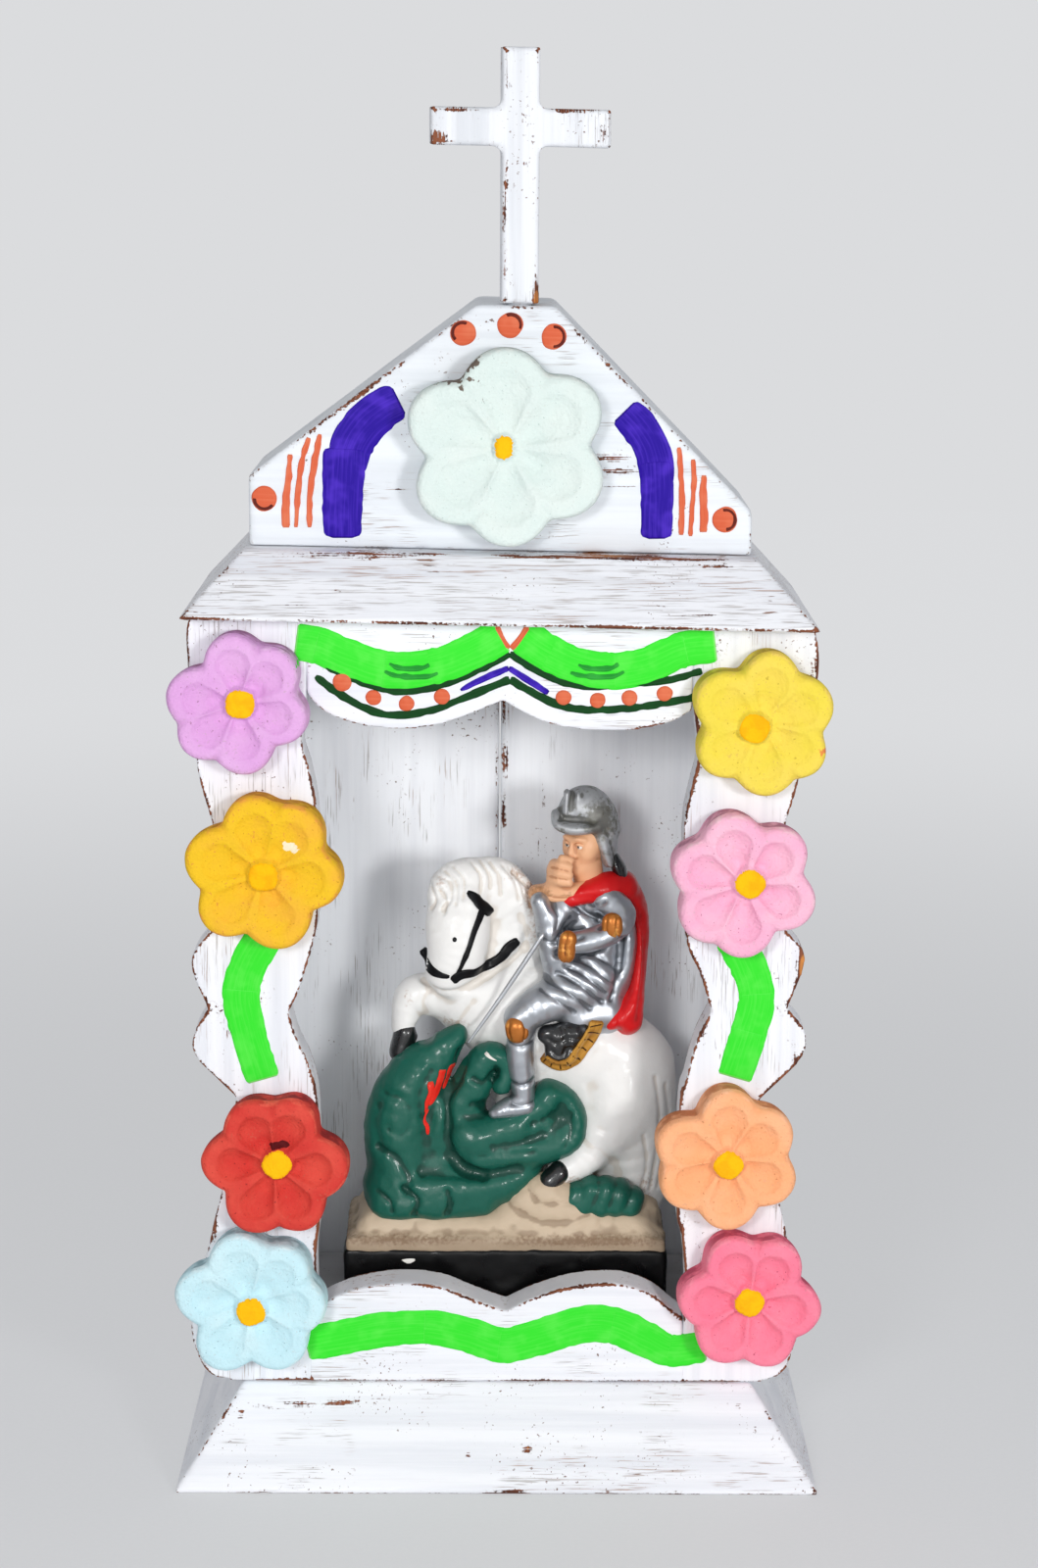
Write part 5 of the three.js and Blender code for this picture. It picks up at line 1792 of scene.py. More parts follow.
    def _horse_parts(self) -> list[CastPiece]:
        """Lists the horse and its black hoofs."""
        white = CastPaint("horse_white_paint", 0xECEBE8, 0xB79E7C, 0.38, coat=0.12, hollow_tint=0.3,
                          chips=0.25)
        black = CastPaint("gloss_black_paint", 0x101012, 0x050506, 0.25, coat=0.5)
        strands = (
            ((-25.5, 158.5), (-20.5, 156.5), (-20, 151), (-23.5, 147)),
            ((-24.5, 154), (-22, 150.5), (-22.5, 146)),
            ((-19.5, 161.5), (-15.5, 157.5), (-15.6, 151)),
            ((-13, 163), (-9.5, 158.5), (-9.4, 152)),
            ((-6.5, 163), (-3, 158), (-2.2, 151)),
            ((-1.5, 161.5), (3, 156), (4.4, 149)),
            ((2.5, 159), (7, 153.5), (8.4, 146.5)),
            ((6.5, 155), (10.4, 149.5), (11.2, 142)),
            ((-27.6, 155), (-25.6, 150), (-27.2, 146.4)),
            ((-22.4, 160), (-18, 156), (-18.4, 149)),
            ((-10, 163.6), (-6.4, 158.6), (-6, 154)),
            ((0.6, 160.6), (5, 155), (6.4, 150)),
        )
        return [
            CastPiece("cast_horse", white, (
                (((-12, 2, 112, 15, 14), (6, 3, 106, 17, 16), (25, 4, 94, 20, 17),
                  (40, 5, 81, 20, 16)), 4.0),
                (((40, 4, 84, 20, 15), (41, 4, 66, 19, 14), (43, 4, 50, 14, 12),
                  (45, 4, 34, 11, 11)), 5.0),
                (((2, 4, 104, 15, 12), (12, 5, 84, 20, 12), (22, 6, 62, 20, 11),
                  (26, 6, 40, 16, 10)), 5.0),
                (((54, 8, 86, 6, 7), (56, 9, 66, 6.5, 7), (55, 8, 46, 6, 7), (52, 7, 34, 6, 6)),
                 4.0),
                (((42, -5, 74, 11, 9), (35, -8, 62, 9, 8), (27, -10, 53, 6.5, 7),
                  (20, -11, 49, 5, 6)), 6.0),
                (((-4, 3, 108, 18, 13), (-1, 3, 124, 16.5, 10), (0.6, 3, 140, 12.6, 9),
                  (-4, 1, 149.6, 9.5, 8)), 4.0),
                (((-13, -1, 157.5, 5.5, 5.5), (-4, 0, 157.8, 5.8, 6), (2.4, 1, 152, 6.2, 6),
                  (8, 2, 141, 6, 6)), 3.0),
                (((-16.5, -3, 152, 11, 7), (-17.5, -7, 140, 11.6, 8.6), (-18, -9, 130, 10.6, 8.2),
                  (-20.6, -9.5, 122.6, 8.6, 7.4)), 3.0),
                (((-20, 1, 112, 9, 9), (-31, 0, 112.5, 7.6, 8), (-35.2, -1, 110, 6.2, 6.6),
                  (-37.2, -2, 101, 4.6, 5.5)), 2.5),
                (((-23, -5, 154.5, 4.6, 5), (-24.8, -6, 150.5, 3.8, 4.4)), 1.5),
            ), holes=(self.opening,), lines=tuple((strand, 0.6, 0.75) for strand in strands) + (
                (((-30, 119.2), (-24, 116.6), (-16, 117.4), (-8, 121), (1, 126.4), (6.6, 131)), 1.5,
                 1.5),
                (((6.6, 131), (7.6, 137), (5, 143)), 1.8, 1.0),
                (((-12, 113), (-16, 107), (-19, 101)), 1.8, 0.9),
                (((-27, 117), (-30, 112), (-29, 107)), 1.5, 0.7),
                (((34, 66), (31, 73), (31, 81)), 4.0, 0.9),
                (((54, 84), (56, 70), (55, 52), (53, 40)), 0.9, 0.6),
                (((58, 80), (59.5, 66), (58, 50), (56, 40)), 0.9, 0.6),
                (((50, 62), (51.5, 50), (49, 38)), 0.9, 0.5),
                (((28, 62), (35, 58), (40, 50), (42, 42)), 2.2, 1.2),
            ), step=0.6, lumpy=0.16, smears=(
                (11, 150, 5, 9, 1.1), (4, 158, 6, 3.5, 0.6), (-24, 156, 3, 4, 0.5),
                (10, 136, 3, 9, 0.5),
                (-36, 112, 3, 5, 0.4), (-19, 104, 8, 2.5, 0.6), (24, 46, 7, 4, 0.6),
                (51, 42, 5, 7, 0.5),
            )),
            CastPiece("cast_hoofs", black, (
                (((-36.4, -3, 99, 4.6, 5.4), (-38.6, -4, 92, 4, 5)), 1.0),
                (((19.5, -14, 50, 4, 5), (15.8, -15, 46.6, 4, 5)), 1.0),
            ), holes=(self.opening,), lumpy=0.15),
        ]

    def _dragon_parts(self) -> list[CastPiece]:
        """Lists the dragon and the ribbed green mound."""
        green = CastPaint(
            "dragon_green_paint", 0x145A4B, 0x05231B, 0.36,
            coat=0.22, hollow_tint=0.6, grain=0.22, chips=0.2, gloss=0.25,
        )
        return [
            CastPiece("cast_dragon", green, (
                (((-38, -8, 40, 12, 12), (-39, -8, 56, 12, 12.5), (-38.5, -8, 70, 12.4, 12.5),
                  (-33, -8, 83, 11, 11),
                  (-25, -8, 92, 7.6, 8), (-19, -8, 98, 4.6, 6), (-17, -8, 101, 2.6, 4.5)), 3.0),
                (((-20, -8, 68, 10, 10), (-13, -10, 80, 7.5, 8), (-9, -11, 90, 6, 7),
                  (-4, -12, 93.4, 4.5, 6),
                  (0.5, -12, 89, 3.6, 5), (-1.5, -12.5, 82, 3.5, 5)), 2.0),
                (((-14.5, -16, 65, 5, 5), (-11, -17, 63.6, 5.6, 5.6)), 2.0),
                (((2, -7, 62, 8, 8), (12, -7, 65, 8, 8), (20, -7, 69, 6, 7)), 4.0),
                (((8, -9, 60, 7, 8), (19, -9, 63, 6, 7)), 4.0),
                (((-25, -6, 46, 9, 9), (-25, -7, 60, 8, 9), (-23, -7, 74, 7, 8)), 4.0),
                (((-14, -13, 62, 8, 8), (0, -13, 65.5, 7.4, 8), (11, -12, 70.5, 7, 8),
                  (17, -11, 76.5, 5, 6.5)), 4.0),
                (((15, -10, 79, 4.4, 6), (22, -10, 76, 4, 6), (25.6, -10, 69, 3.6, 6.5),
                  (23.5, -10.5, 61.5, 4.6, 7),
                  (14, -11, 58, 5.6, 8), (2, -12, 57, 6.5, 9), (-8, -12, 55, 8, 9)), 5.0),
                (((-40, -9, 42, 12, 12), (-20, -11, 43, 12, 12), (-2, -11, 46, 9, 10),
                  (7, -10, 50, 6, 8)), 3.0),
                (((-43, -15, 37.5, 6, 6), (-36, -17, 38, 5, 6)), 2.0),
                (((-31, -16.5, 39, 5.5, 6.5), (-24, -17, 38.5, 5.5, 6)), 2.0),
                (((-18, -15.5, 39, 5.5, 6.5), (-9, -15, 39, 5.5, 6)), 2.0),
            ), holes=(self.opening,), lines=(
                (((10.6, 69.4), (15, 70.4), (19.6, 72), (21, 75.6)), 3.4, 2.4),
                (((21.4, 60.4), (23.4, 66), (23.2, 72)), 1.4, 0.7),
                (((-46, 76), (-47.4, 68), (-45.6, 60)), 1.8, 0.8),
                (((-10, 58), (0, 58.6), (10, 59)), 1.4, 0.6),
                (((-15.6, 94), (-17.6, 86), (-21.5, 78), (-21, 70), (-21.5, 62), (-17, 54),
                  (-8, 50)), 1.8, 2.4),
                (((-12, 86), (-8, 84), (-4.5, 86.6)), 1.6, 1.6),
                (((-12, 76), (-6, 75), (0, 77)), 1.8, 1.4),
                (((-44, 80), (-37, 78.5), (-33.5, 72), (-37, 65.5), (-42, 67)), 1.8, 0.6),
                (((-46, 60), (-40, 57), (-35, 50), (-36, 45)), 1.6, 1.2),
                (((-27, 88), (-31, 80), (-30, 72)), 2.2, 1.0),
                (((-4, 61), (5, 62.4), (13, 65)), 1.8, 1.0),
                (((-30, 51), (-18, 51), (-6, 51), (4, 52.5)), 2.2, 1.5),
                (((-37, 46), (-32, 42), (-33, 36)), 1.2, 1.4),
                (((-21, 45), (-20, 40), (-21, 36)), 1.2, 1.4),
                (((-46, 44), (-42, 41), (-41, 37)), 1.0, 0.9),
            ), step=0.65, lumpy=0.3),
            CastPiece("cast_mound", green, (
                (((22, -13, 37, 5, 7), (26, -13, 42, 4.4, 7)), 1.0),
                (((28, -14, 38, 5, 7), (31, -14, 44, 4.4, 7)), 0.8),
                (((34, -14.5, 38, 5, 7), (36.5, -14.5, 44.4, 4.2, 7)), 0.8),
                (((40, -14, 38, 5, 7), (41.5, -14, 43, 4.2, 7)), 0.8),
                (((45, -13, 37, 4.6, 7), (46.5, -13, 40, 4, 6.6)), 0.8),
            )),
        ]

    def _rider_parts(self) -> list[CastPiece]:
        """Lists the rider's cape, armour, plates and saddle cloth."""
        black = CastPaint("gloss_black_cloth", 0x101012, 0x050506, 0.25, coat=0.5)
        silver = CastPaint(
            "silver_armour_paint", 0xB0B4BA, 0x5A5E64, 0.3,
            metal=0.8, hollow_tint=0.75, grain=0.05, chips=0.1,
        )
        red = CastPaint("red_cape_paint", 0xD2191C, 0x8E1012, 0.3, coat=0.12, hollow_tint=0.4, grain=0.06,
                        chips=0.2, gloss=0.2)
        gold = CastPaint("bronze_paint", 0xB56C2A, 0x5E2C0C, 0.32, metal=0.55, hollow_tint=0.9,
                         patchy=0xDC9A4C)
        return [
            CastPiece("cast_cape", red, (
                (((41.5, 4, 152, 6, 7), (47, 4, 144, 4, 8), (48.6, 3, 132, 2.9, 9),
                  (47.4, 1, 118, 3, 10),
                  (45.6, -2, 109, 4.2, 9), (43.8, -4, 104.4, 5.4, 8)), 3.0),
                (((44, -4, 111, 4, 7), (40, -9, 106.4, 3.6, 5.6), (37.4, -9.6, 104.6, 2.6, 5)),
                 2.5),
                (((20, -6, 148.6, 2.6, 4), (27, -6, 151.6, 4, 5.5), (35, -4, 153.4, 5.4, 6.4),
                  (41, -1, 152.6, 6, 6.4)), 2.5),
            ), lines=(
                (((48.6, 144), (50, 132), (49, 118), (47.4, 106)), 1.3, 0.8),
                (((43.5, 116), (41, 109), (40.6, 102)), 1.3, 0.8),
                (((24, 151), (30, 151.4), (36, 150)), 1.0, 0.5),
            )),
            CastPiece("cast_armour", silver, (
                (((31, 1, 144, 11, 9), (30, 0, 133, 11.6, 10), (31, 0, 121, 10.6, 10),
                  (32, 0, 110, 9.6, 9)), 3.0),
                (((20, -5, 146, 6, 6), (15.4, -8, 141, 5.2, 6), (16.4, -9, 133, 5, 6),
                  (20, -7, 123, 7, 7)), 2.5),
                (((36, -6, 149, 6, 6), (41, -10, 145, 5.2, 5.6), (38.6, -14, 140.4, 4.8, 5),
                  (30, -16, 136.8, 4.4, 5),
                  (22, -17, 136, 4, 5)), 1.6),
                (((42.6, 0, 142, 4, 7), (43.6, 0, 131, 4, 8), (41.4, 0, 119, 4.4, 8),
                  (36, -2, 111, 6, 8)), 2.0),
                (((14, -9, 144, 4, 5), (11.8, -9, 149.6, 3.4, 4.6)), 1.5),
                (((30, -5, 119, 11, 10), (22, -9, 115.4, 9, 9.4), (12, -13, 112, 7.2, 8),
                  (4.8, -14, 107.6, 5.8, 7)), 3.0),
                (((35.5, -5, 107.4, 8, 9), (26, -9, 106.6, 7, 8)), 3.0),
                (((5.4, -14, 104, 4.9, 6), (4.9, -14, 92.6, 5.2, 6.2), (6, -14, 83, 4.5, 5.6),
                  (6.2, -14.4, 77, 4, 5)), 2.0),
                (((7.4, -14, 74.6, 4, 5), (1, -15.6, 74.6, 3.8, 4.8), (-4.4, -16.4, 72.8, 2, 3.6)),
                 2.0),
            ), lines=(
                (((12, 137), (17, 135.6), (22, 137.4), (27, 139)), 1.0, 0.8),
                (((18, 131.6), (26, 130.6), (34, 132.8), (41, 137)), 1.5, 1.5),
                (((24, 149), (28, 145), (33, 142.6)), 1.4, 1.4),
                (((22, 129.4), (30, 126.4), (38, 120)), 1.0, 0.8),
                (((21, 126.6), (28, 123.4), (36, 116.6)), 1.0, 0.8),
                (((18, 124.6), (26, 120.6), (34, 113.6)), 1.0, 0.8),
                (((14, 122), (22, 118), (30, 111.6)), 1.0, 0.7),
                (((12, 119), (18, 115.6), (24, 110.6)), 0.9, 0.6),
                (((26, 131), (33, 129), (40, 124)), 0.9, 0.6),
                (((19, 136), (20, 140), (23, 144)), 0.9, 0.6),
                (((27, 147.6), (31, 147.6), (35, 150)), 0.9, 0.5),
                (((0, 85), (5.4, 84), (10.6, 85.6)), 0.9, 0.8),
                (((0.4, 99.6), (5, 98.6), (10, 100)), 0.9, 0.6),
                (((41.4, 137), (41, 129), (39.6, 121), (37.6, 114)), 1.2, 0.9),
                (((2, 77), (6, 76.4), (10.6, 77.6)), 0.8, 0.6),
                (((17, 148), (18.4, 144), (17.6, 140)), 0.8, 0.5),
            ), step=0.55, lumpy=0.16),
            CastPiece("cast_bronze_plates", gold, (
                (((37.4, -17.6, 143.6, 3.8, 2.6), (37.6, -17.6, 141.4, 3.8, 2.6)), 1.0),
                (((21.8, -20.6, 138.4, 3.2, 2.4), (21.2, -20.6, 132.8, 3.2, 2.4)), 1.0),
                (((3.6, -19, 105.4, 4.2, 3.2), (3.9, -19, 103.6, 4.2, 3.2)), 1.2),
            ), lines=(
                (((39.4, 146.6), (39, 142), (39.4, 138)), 0.4, 0.5),
                (((35.4, 146), (35.2, 142), (35.6, 138.6)), 0.4, 0.5),
                (((21.4, 142), (20.6, 135.6), (21.2, 129.6)), 0.5, 0.6),
                (((1, 108), (0.6, 104.6), (1.4, 101)), 0.5, 0.6),
                (((6.4, 108), (7, 104.6), (6.4, 101)), 0.5, 0.6),
            ), step=0.5, lumpy=0.1),
            CastPiece("cast_saddle_cloth", black, (
                (((15, -15, 101.6, 3.8, 4), (21, -15, 100.6, 6, 4.6), (27, -14, 103.6, 3.6, 4.6)),
                 2.0),
                (((18, -15, 95, 4.4, 4.2), (22, -15, 94.4, 3.6, 4.4)), 2.0),
            ), lines=(
                (((14.4, 101), (18, 99.4), (22, 101.6), (26, 101)), 0.8, 0.8),
                (((16, 96.6), (19, 94.6), (22.6, 97.6)), 0.8, 0.8),
                (((20, 105), (21.4, 99), (20.4, 93)), 0.8, 0.7),
            ), step=0.6),
        ]

    def _head_parts(self) -> list[CastPiece]:
        """Lists the rider's head, hand, helmet and hair."""
        black = CastPaint("gloss_black_hair", 0x101012, 0x050506, 0.25, coat=0.5)
        helmet = CastPaint(
            "speckled_silver_paint", 0xB2B4B6, 0x54534C, 0.46,
            metal=0.45, hollow_tint=0.75, patchy=0x7C7C74, grain=0.16, smear=0x5F5D53,
        )
        skin = CastPaint("skin_paint", 0xE9B288, 0xA9673A, 0.42, hollow_tint=0.6, grain=0.04, chips=0.15)
        white = CastPaint("eye_white_paint", 0xEDE6DC, 0xC9BBAA, 0.25, coat=0.4, grain=0.01)
        dark = CastPaint("eye_dark_paint", 0x2E1E16, 0x1A100B, 0.25, coat=0.4, grain=0.01)
        h = self._on_head
        eyes = self._pair((6.2, 2.75, 1.6, 1.55, 1.55), (6.25, 2.75, 1.55, 1.55, 1.55))
        gaze = self._pair((7.35, 2.7, 1.55, 0.62, 0.62), (7.36, 2.7, 1.5, 0.62, 0.62))
        sockets = self._pair((8.6, 2.0, 1.6, 1.15, 1.15), (8.2, 3.6, 1.5, 1.15, 1.15))
        lids = self._pair(
            (7.2, 1.5, 1.9, 0.55, 0.55), (7.75, 2.7, 2.55, 0.6, 0.6), (6.9, 4.1, 2.0, 0.5, 0.5)
        )
        brows = self._pair(
            (8.0, 0.9, 3.9, 0.8, 0.8), (7.8, 2.8, 4.4, 0.85, 0.85), (6.4, 4.8, 4.0, 0.7, 0.7)
        )
        cheeks = self._pair((4.4, 3.7, -1.2, 3.1, 3.1), (3.6, 4.2, 0.6, 3, 3))
        wings = self._pair((7.6, 1.2, -1.7, 0.85, 0.85), (8.3, 0.7, -1.8, 0.8, 0.8))
        return [
            CastPiece("cast_eyes", white, [(eye, 0.3) for eye in eyes], step=0.3, lumpy=0.0),
            CastPiece("cast_pupils", dark, [(eye, 0.1) for eye in gaze], step=0.2, lumpy=0.0),
            CastPiece("cast_head", skin, (
                (((30, 0, 152, 5.6, 5.6), (28.6, -1, 161, 5.6, 5.6)), 2.0),
                ((h(-2, 0, 4, 7.2, 8), h(0.6, 0, 2.4, 7.2, 7.4)), 2.0),
                ((h(1.8, 0, -2, 6, 6), h(4.2, 0, -6.6, 3.4, 3.6)), 2.5),
                ((h(5.6, 0, -7.6, 1.9, 1.9), h(5.8, 0, -7.8, 1.9, 1.9)), 1.6),
                ((h(7.1, 0, 3.2, 1.0, 1.0), h(9.0, 0, -0.8, 1.25, 1.25), h(8.6, 0, -1.6, 1.1, 1.1)),
                 1.2),
                ((h(7.0, -1.7, -3.9, 0.6, 0.6), h(7.9, 0, -3.6, 0.75, 0.75),
                  h(7.0, 1.7, -3.9, 0.6, 0.6)), 0.8),
                ((h(6.8, -1.4, -5.0, 0.7, 0.7), h(7.5, 0, -5.2, 0.85, 0.85),
                  h(6.8, 1.4, -5.0, 0.7, 0.7)), 0.8),
                *((cheek, 2.0) for cheek in cheeks), *((wing, 0.8) for wing in wings),
                *((brow, 1.2) for brow in brows),
            ), holes=sockets, step=0.4, lumpy=0.04),
            CastPiece("cast_eyelids", skin, [(lid, 0.5) for lid in lids], step=0.3, lumpy=0.0),
            CastPiece("cast_hand", skin, (
                (((16.8, -9, 163.4, 1.5, 2.2), (19.2, -12, 163.6, 1.7, 2.2),
                  (22, -12, 162.6, 1.6, 2)), 0.9),
                (((16, -9, 160.4, 1.6, 2.4), (18.6, -12.4, 160.6, 1.8, 2.2),
                  (22, -12.4, 159.8, 1.7, 2.1)), 0.9),
                (((16, -9, 157.4, 1.6, 2.4), (18.6, -12, 157.6, 1.8, 2.2),
                  (22, -12, 157, 1.7, 2.1)), 0.9),
                (((17.4, -7, 161, 3, 3.4), (18.4, -7, 156.4, 4.2, 4.4)), 2.0),
                (((22.6, -10.4, 164.8, 1.3, 1.8), (19.6, -11, 165.6, 1.5, 1.8)), 0.9),
                (((10.6, -5, 151.6, 3, 4.4), (16, -6, 151.8, 3.6, 4.6), (22.6, -6, 151.6, 3.6, 4.6),
                  (29, -5, 152.6, 4, 5)), 2.5),
            ), lines=(
                (((12, 152.6), (17, 151), (23, 151)), 0.7, 0.5),
            ), step=0.4, lumpy=0.05, smears=((12, 152, 5, 3.5, 1.0), (22, 152, 4, 1.5, 0.6))),
            CastPiece("cast_helmet", helmet, (
                (((24, -1, 180.6, 6, 8), (28, 0, 181.6, 8.4, 9), (32.6, 0, 177.6, 6.8, 9.4),
                  (35.4, 1, 169, 4.4, 8.4),
                  (36.6, 1, 162.6, 2.6, 6.6)), 2.5),
                (((17.2, -5, 180.4, 1.7, 5), (18.4, -7, 177.6, 2.3, 5.6),
                  (22.6, -8.6, 176.4, 2.6, 5.6),
                  (28, -8.8, 176.6, 2.5, 5.6), (32.6, -7, 177.2, 2.3, 5)), 1.6),
                (((20.8, -6, 181, 1.2, 3.4), (21.2, -5, 188.4, 1.2, 3.4)), 1.0),
                (((24.8, -6.5, 182, 0.8, 2), (25.2, -5, 188.4, 0.8, 2.6)), 1.0),
                (((33.4, -7, 173, 1.7, 2), (34.8, -7.4, 168, 1.6, 2), (36.8, -6.4, 162.6, 1.3, 2)),
                 1.4),
                (((29, -2, 186.4, 1.6, 1.6), (36, 0, 181.6, 1.6, 1.6), (39.4, 1, 173.4, 1.5, 1.6)),
                 2.0),
            ), lines=(
                (((18, 179.8), (24, 179.2), (31, 178.6)), 0.8, 0.9),
                (((34, 178), (37, 171), (38.6, 165)), 0.8, 0.5),
            ), step=0.55, lumpy=0.12, smears=((33, 179, 6.5, 8, 1.15),)),
            CastPiece("cast_hair", black, (
                (((38.6, -1, 163.6, 2, 4.6), (40.2, -1, 160, 2.7, 5.2), (42, 0, 156, 1.9, 4.6)),
                 1.0),
            ), lines=((((39, 165), (41, 159), (42.6, 154)), 0.5, 0.5),), step=0.5, lumpy=0.1),
        ]

    def _pair(self, *stations: Station) -> list[Points]:
        """Puts a limb on each side of the rider's head."""
        return [
            [self._on_head(ahead, side * beside, *rest) for ahead, beside, *rest in stations]
            for side in (-1, 1)
        ]

    def _on_head(
        self, forward: float, side: float, up: float, wide: float, deep: float
    ) -> Station:
        """Turns a place on the rider's head into a limb station.

        Args:
            forward: millimetres towards the face from the head's middle.
            side: millimetres to the rider's left.
            up: millimetres up.
            wide: half width.
            deep: half depth.

        Returns:
            The station.
        """
        x, y, z = self.head
        turn, nod = math.radians(self.head_turn), math.radians(self.head_nod)
        ahead = forward * math.cos(nod) + up * math.sin(nod)
        rise = up * math.cos(nod) - forward * math.sin(nod)
        return (
            x - ahead * math.sin(turn) + side * math.cos(turn),
            y - ahead * math.cos(turn) - side * math.sin(turn),
            z + rise, wide, deep,
        )

    def build(self) -> None:
        """Makes the cast, the paint on it and the lance."""
        parts = self._base_parts() + self._horse_parts() + self._dragon_parts()
        parts += self._rider_parts() + self._head_parts()
        for part in parts:
            nodes = ("figurine",) if part is parts[0] else ()
            place(self._piece(part), Body.FIGURINE, "painted_plaster", nodes)
        self._details()
        self._lance()

    def _details(self) -> None:
        """Paints the bridle, the wounds, the fringe and the chips."""
        g = self._ground
        black = BrushPaint("bridle_black_paint", 0x0E0E10, 0x1B1B1E, 0.3)
        rows = (
            (((-14.2, 153.2), (-11.6, 151.2), (-8.2, 147.4), (-5.4, 144.4)), (1.6, 3.0, 3.4, 3.0),
             0.9),
            (((-8.6, 146.8), (-11.4, 139.8), (-14.6, 130.8), (-18.2, 123.2)), (2.6, 2.2, 1.8, 1.2),
             0.8),
            (((-30.6, 129.2), (-27.6, 125.6), (-24, 124), (-20.4, 123.4)), (3.2, 3.6, 2.4, 1.4),
             0.9),
            (((-19.4, 121.6), (-16, 124), (-10, 124.4), (-3, 127.4), (1, 131.8), (4.2, 134.2)),
             (3.4, 3.6, 3.4, 3.6, 3.8, 3.4), 1.0),
        )
        straps = [
            stroke(line, width, g, thick, 0.2, 1 + i)
            for i, (line, width, thick) in enumerate(rows)
        ]
        self._paint("bridle_straps", [*straps, dab(-18.6, 137, (0.8, 0.9), g, 0.4, 5, 12)], black)
        red = BrushPaint("red_drip_paint", 0xE0281E, 0xEE4A38, 0.25)
        rows = (
            (((-19, 89.4), (-20.4, 86), (-22.6, 80.6)), (2.8, 2.2, 1.0), 0.2),
            (((-22.8, 88.4), (-23.8, 84), (-26, 78), (-27.6, 75.4)), (2.8, 2.4, 1.8, 0.9), 0.2),
            (((-27.2, 84.4), (-26.8, 80), (-28.4, 76.4), (-29, 72.6)), (2.2, 2.6, 1.6, 0.8), 0.2),
            (((-28.2, 74), (-29.4, 70), (-28.4, 67.4), (-28.2, 64.4)), (1.2, 0.9, 1.4, 1.0), 0.15),
        )
        drips = [
            stroke(line, width, g, 0.5, wander, 6 + i)
            for i, (line, width, wander) in enumerate(rows)
        ]
        self._paint("red_drips", drips, red)
        gold = BrushPaint("fringe_gold_paint", 0xC4903E, 0x8A5520, 0.38)
        line = ((32.4, 107), (31.4, 102.8), (27.6, 97), (23.4, 91.8), (18.6, 90), (13, 93))
        fringe = stroke(line, (5.6, 5.8, 5.8, 5.8, 5.4, 4.4), g, 1.3, 0.3, 9, 1.0)
        self._paint("saddle_fringe", [fringe], gold)
        dark = BrushPaint("fringe_line_paint", 0x3A2410, 0x5A3818, 0.5)
        cuts = [
            stroke(((x - dx, z - dz), (x, z), (x + dx, z + dz)), 0.5, g, 0.12, 0.08, 10, 0.4)
            for x, z, dx, dz in (
                (32.2, 105.4, 2.3, 0.3), (31.4, 102.4, 2.3, -0.9), (29.5, 99.6, 2.0, -1.5),
                (27.3, 96.8, 1.9, -1.7), (25, 93.8, 1.7, -1.9), (22.4, 91.3, 1.0, -2.3),
                (19.4, 90.1, 0.3, -2.4), (16.6, 90.9, -0.7, -2.2), (14.4, 92.2, -1.3, -1.8),
            )
        ]
        self._paint("fringe_lines", cuts, dark)
        chip = BrushPaint("plaster_chip_paint", 0xF2F0EA, 0xDAD5CC, 0.6)
        self._paint("plaster_chips", [
            stroke(((-37.4, 19.9), (-35, 19.5), (-32.6, 20)), (1.0, 1.7, 1.1), g, 0.15, 0.4, 16,
                   0.3),
            stroke(((-7.5, 95.4), (-6, 94), (-3.4, 92.6)), (1.8, 1.0, 0.6), g, 0.2, 0.2, 17, 0.3),
        ], chip)

    def _lance(self) -> None:
        """Draws the thin silver lance between the hand and the dragon."""
        top, tip = np.array(self.lance_top), np.array(self.lance_tip)
        steps, sides = 24, 10
        way = (tip - top) / np.linalg.norm(tip - top)
        across = np.cross(way, (0, 1, 0))
        across /= np.linalg.norm(across)
        deep = np.cross(way, across)
        turns = [2 * math.pi * k / sides for k in range(sides)]
        points = [top - way * 0.4]
        for i in range(steps + 1):
            share = i / steps
            middle = top + (tip - top) * share + across * 0.35 * math.sin(math.pi * share)
            radius = 0.78 + 0.12 * math.sin(5 * share) - 0.3 * max(0.0, share - 0.85) / 0.15
            points += [middle + radius * (across * math.cos(t) + deep * math.sin(t)) for t in turns]
        points.append(tip + way * 0.5)
        faces = ring_faces(sides, steps + 1, outward=False)
        shell = Shell(np.array(points) + np.array(self.origin), faces)
        rod = CastPaint("silver_lance_paint", 0xC6C9CD, 0x6A6C70, 0.3, metal=0.85)
        place(shell.thing("lance_rod", rod.material()), Body.FIGURINE, "silver_rod", ("lance",))


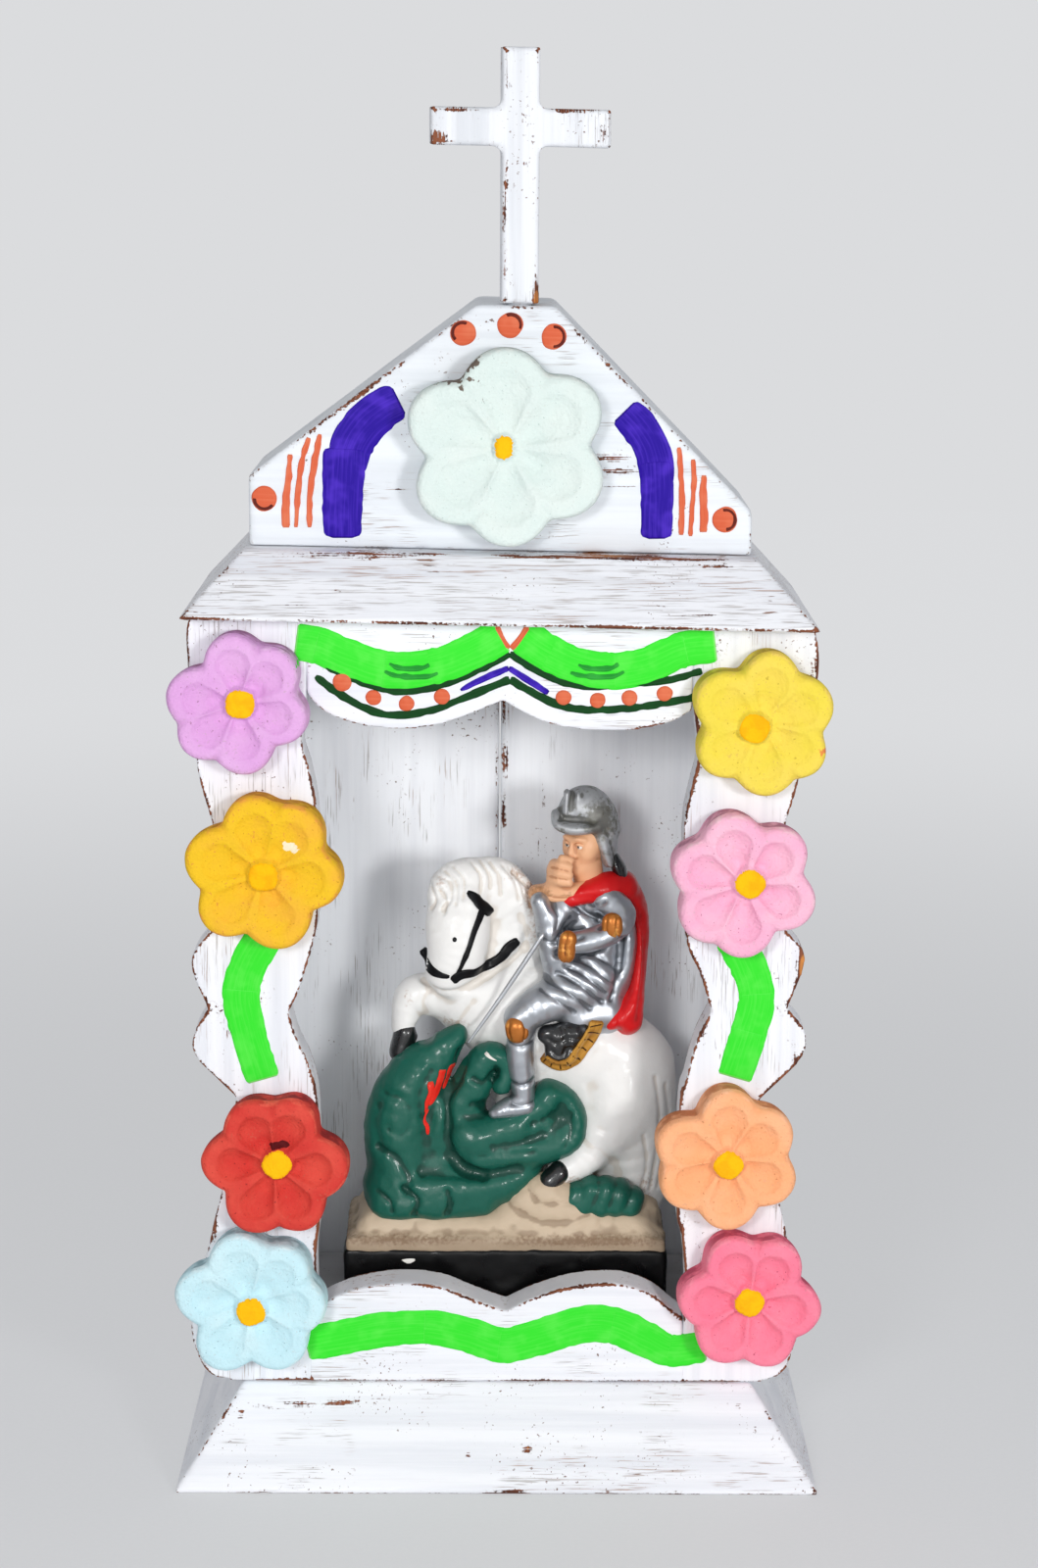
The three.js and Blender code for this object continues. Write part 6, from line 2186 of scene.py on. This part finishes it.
@dataclass
class Studio:
    """Camera, soft lights and pale floor."""

    focal_length: float = 73.82
    sensor: float = 36.0
    place: tuple[float, float, float] = (2.0, -1121.0, 470.0)
    pitch: float = 11.4
    yaw: float = 0.25
    roll: float = 0.3
    aim: tuple[float, float, float] = (0.0, 0.0, 0.24)
    lamps: tuple[tuple[str, tuple[float, float, float], float, float], ...] = (
        ("left_lamp", (-0.46, -1.62, 0.7), 0.3, 9.4),
        ("right_lamp", (0.8, -1.5, 0.5), 0.26, 10.4),
        ("front_lamp", (-0.05, -1.9, 0.3), 0.6, 2.2),
    )
    room: int = 0xF4F6FA
    room_strength: float = 0.44
    backdrop: int = 0xDBDCDE
    floor_half: float = 3.0

    def _camera(self) -> None:
        """Sets the camera at the photograph's viewpoint."""
        lens = bpy.data.cameras.new("camera")
        lens.sensor_fit = "VERTICAL"
        lens.sensor_height = self.sensor
        lens.lens = self.focal_length
        camera = bpy.data.objects.new("camera", lens)
        bpy.context.scene.collection.objects.link(camera)
        turn = (
            Matrix.Rotation(-math.radians(self.yaw), 4, "Z")
            @ Matrix.Rotation(math.pi / 2 - math.radians(self.pitch), 4, "X")
            @ Matrix.Rotation(math.radians(self.roll), 4, "Z")
        )
        camera.matrix_world = Matrix.Translation(Vector(self.place) * MM) @ turn
        bpy.context.scene.camera = camera

    def _light(self, name: str, at: Sequence[float], size: float, power: float) -> None:
        """Hangs one large soft lamp that looks at the shrine."""
        lamp = bpy.data.lights.new(name, "AREA")
        lamp.size = size
        lamp.energy = power
        thing = bpy.data.objects.new(name, lamp)
        thing.location = Vector(at)
        way = Vector(self.aim) - Vector(at)
        thing.rotation_euler = way.to_track_quat("-Z", "Y").to_euler()
        bpy.context.scene.collection.objects.link(thing)

    def _world(self) -> None:
        """Lights the room evenly and shows a pale ground to the camera and in gloss."""
        world = bpy.data.worlds.new("studio")
        world.use_nodes = True
        tree = world.node_tree
        light = tree.nodes["Background"]
        light.inputs["Color"].default_value = tint(self.room)
        light.inputs["Strength"].default_value = self.room_strength
        seen = tree.nodes.new("ShaderNodeBackground")
        seen.inputs["Color"].default_value = tint(self.backdrop)
        mix = tree.nodes.new("ShaderNodeMixShader")
        tree.links.new(seen_rays(tree), mix.inputs[0])
        tree.links.new(light.outputs[0], mix.inputs[1])
        tree.links.new(seen.outputs[0], mix.inputs[2])
        tree.links.new(mix.outputs[0], tree.nodes["World Output"].inputs["Surface"])
        bpy.context.scene.world = world

    def _floor(self) -> None:
        """Lays the pale paper that the shrine stands on."""
        half = self.floor_half
        mesh = bpy.data.meshes.new("studio_floor")
        corners = [(-half, -half, 0), (half, -half, 0), (half, half, 0), (-half, half, 0)]
        mesh.from_pydata(corners, [], [[0, 1, 2, 3]])
        mesh.materials.append(StudioPaper().material())
        floor = bpy.data.objects.new("studio_floor", mesh)
        bpy.context.scene.collection.objects.link(floor)

    def build(self) -> None:
        """Sets up the studio."""
        self._camera()
        self._world()
        self._floor()
        for lamp in self.lamps:
            self._light(*lamp)
        bpy.context.scene.view_settings.view_transform = "Standard"


def main() -> None:
    """Builds every sub-assembly in order."""
    logging.basicConfig(level=logging.INFO, format="%(name)s: %(message)s")
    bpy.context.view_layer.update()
    Studio().build()
    for assembly in (Woodwork(), FrontFrame(), Ornament(), Bouquet(), CastFigurine()):
        LOG.info("building %s", type(assembly).__name__)
        assembly.build()
    bpy.context.view_layer.update()


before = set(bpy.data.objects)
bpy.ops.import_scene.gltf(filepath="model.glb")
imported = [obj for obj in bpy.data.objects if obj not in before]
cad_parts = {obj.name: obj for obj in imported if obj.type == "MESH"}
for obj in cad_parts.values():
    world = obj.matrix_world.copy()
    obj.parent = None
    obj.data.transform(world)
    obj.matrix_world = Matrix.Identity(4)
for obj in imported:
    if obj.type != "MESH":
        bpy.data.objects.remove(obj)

if __name__ == "__main__":
    main()
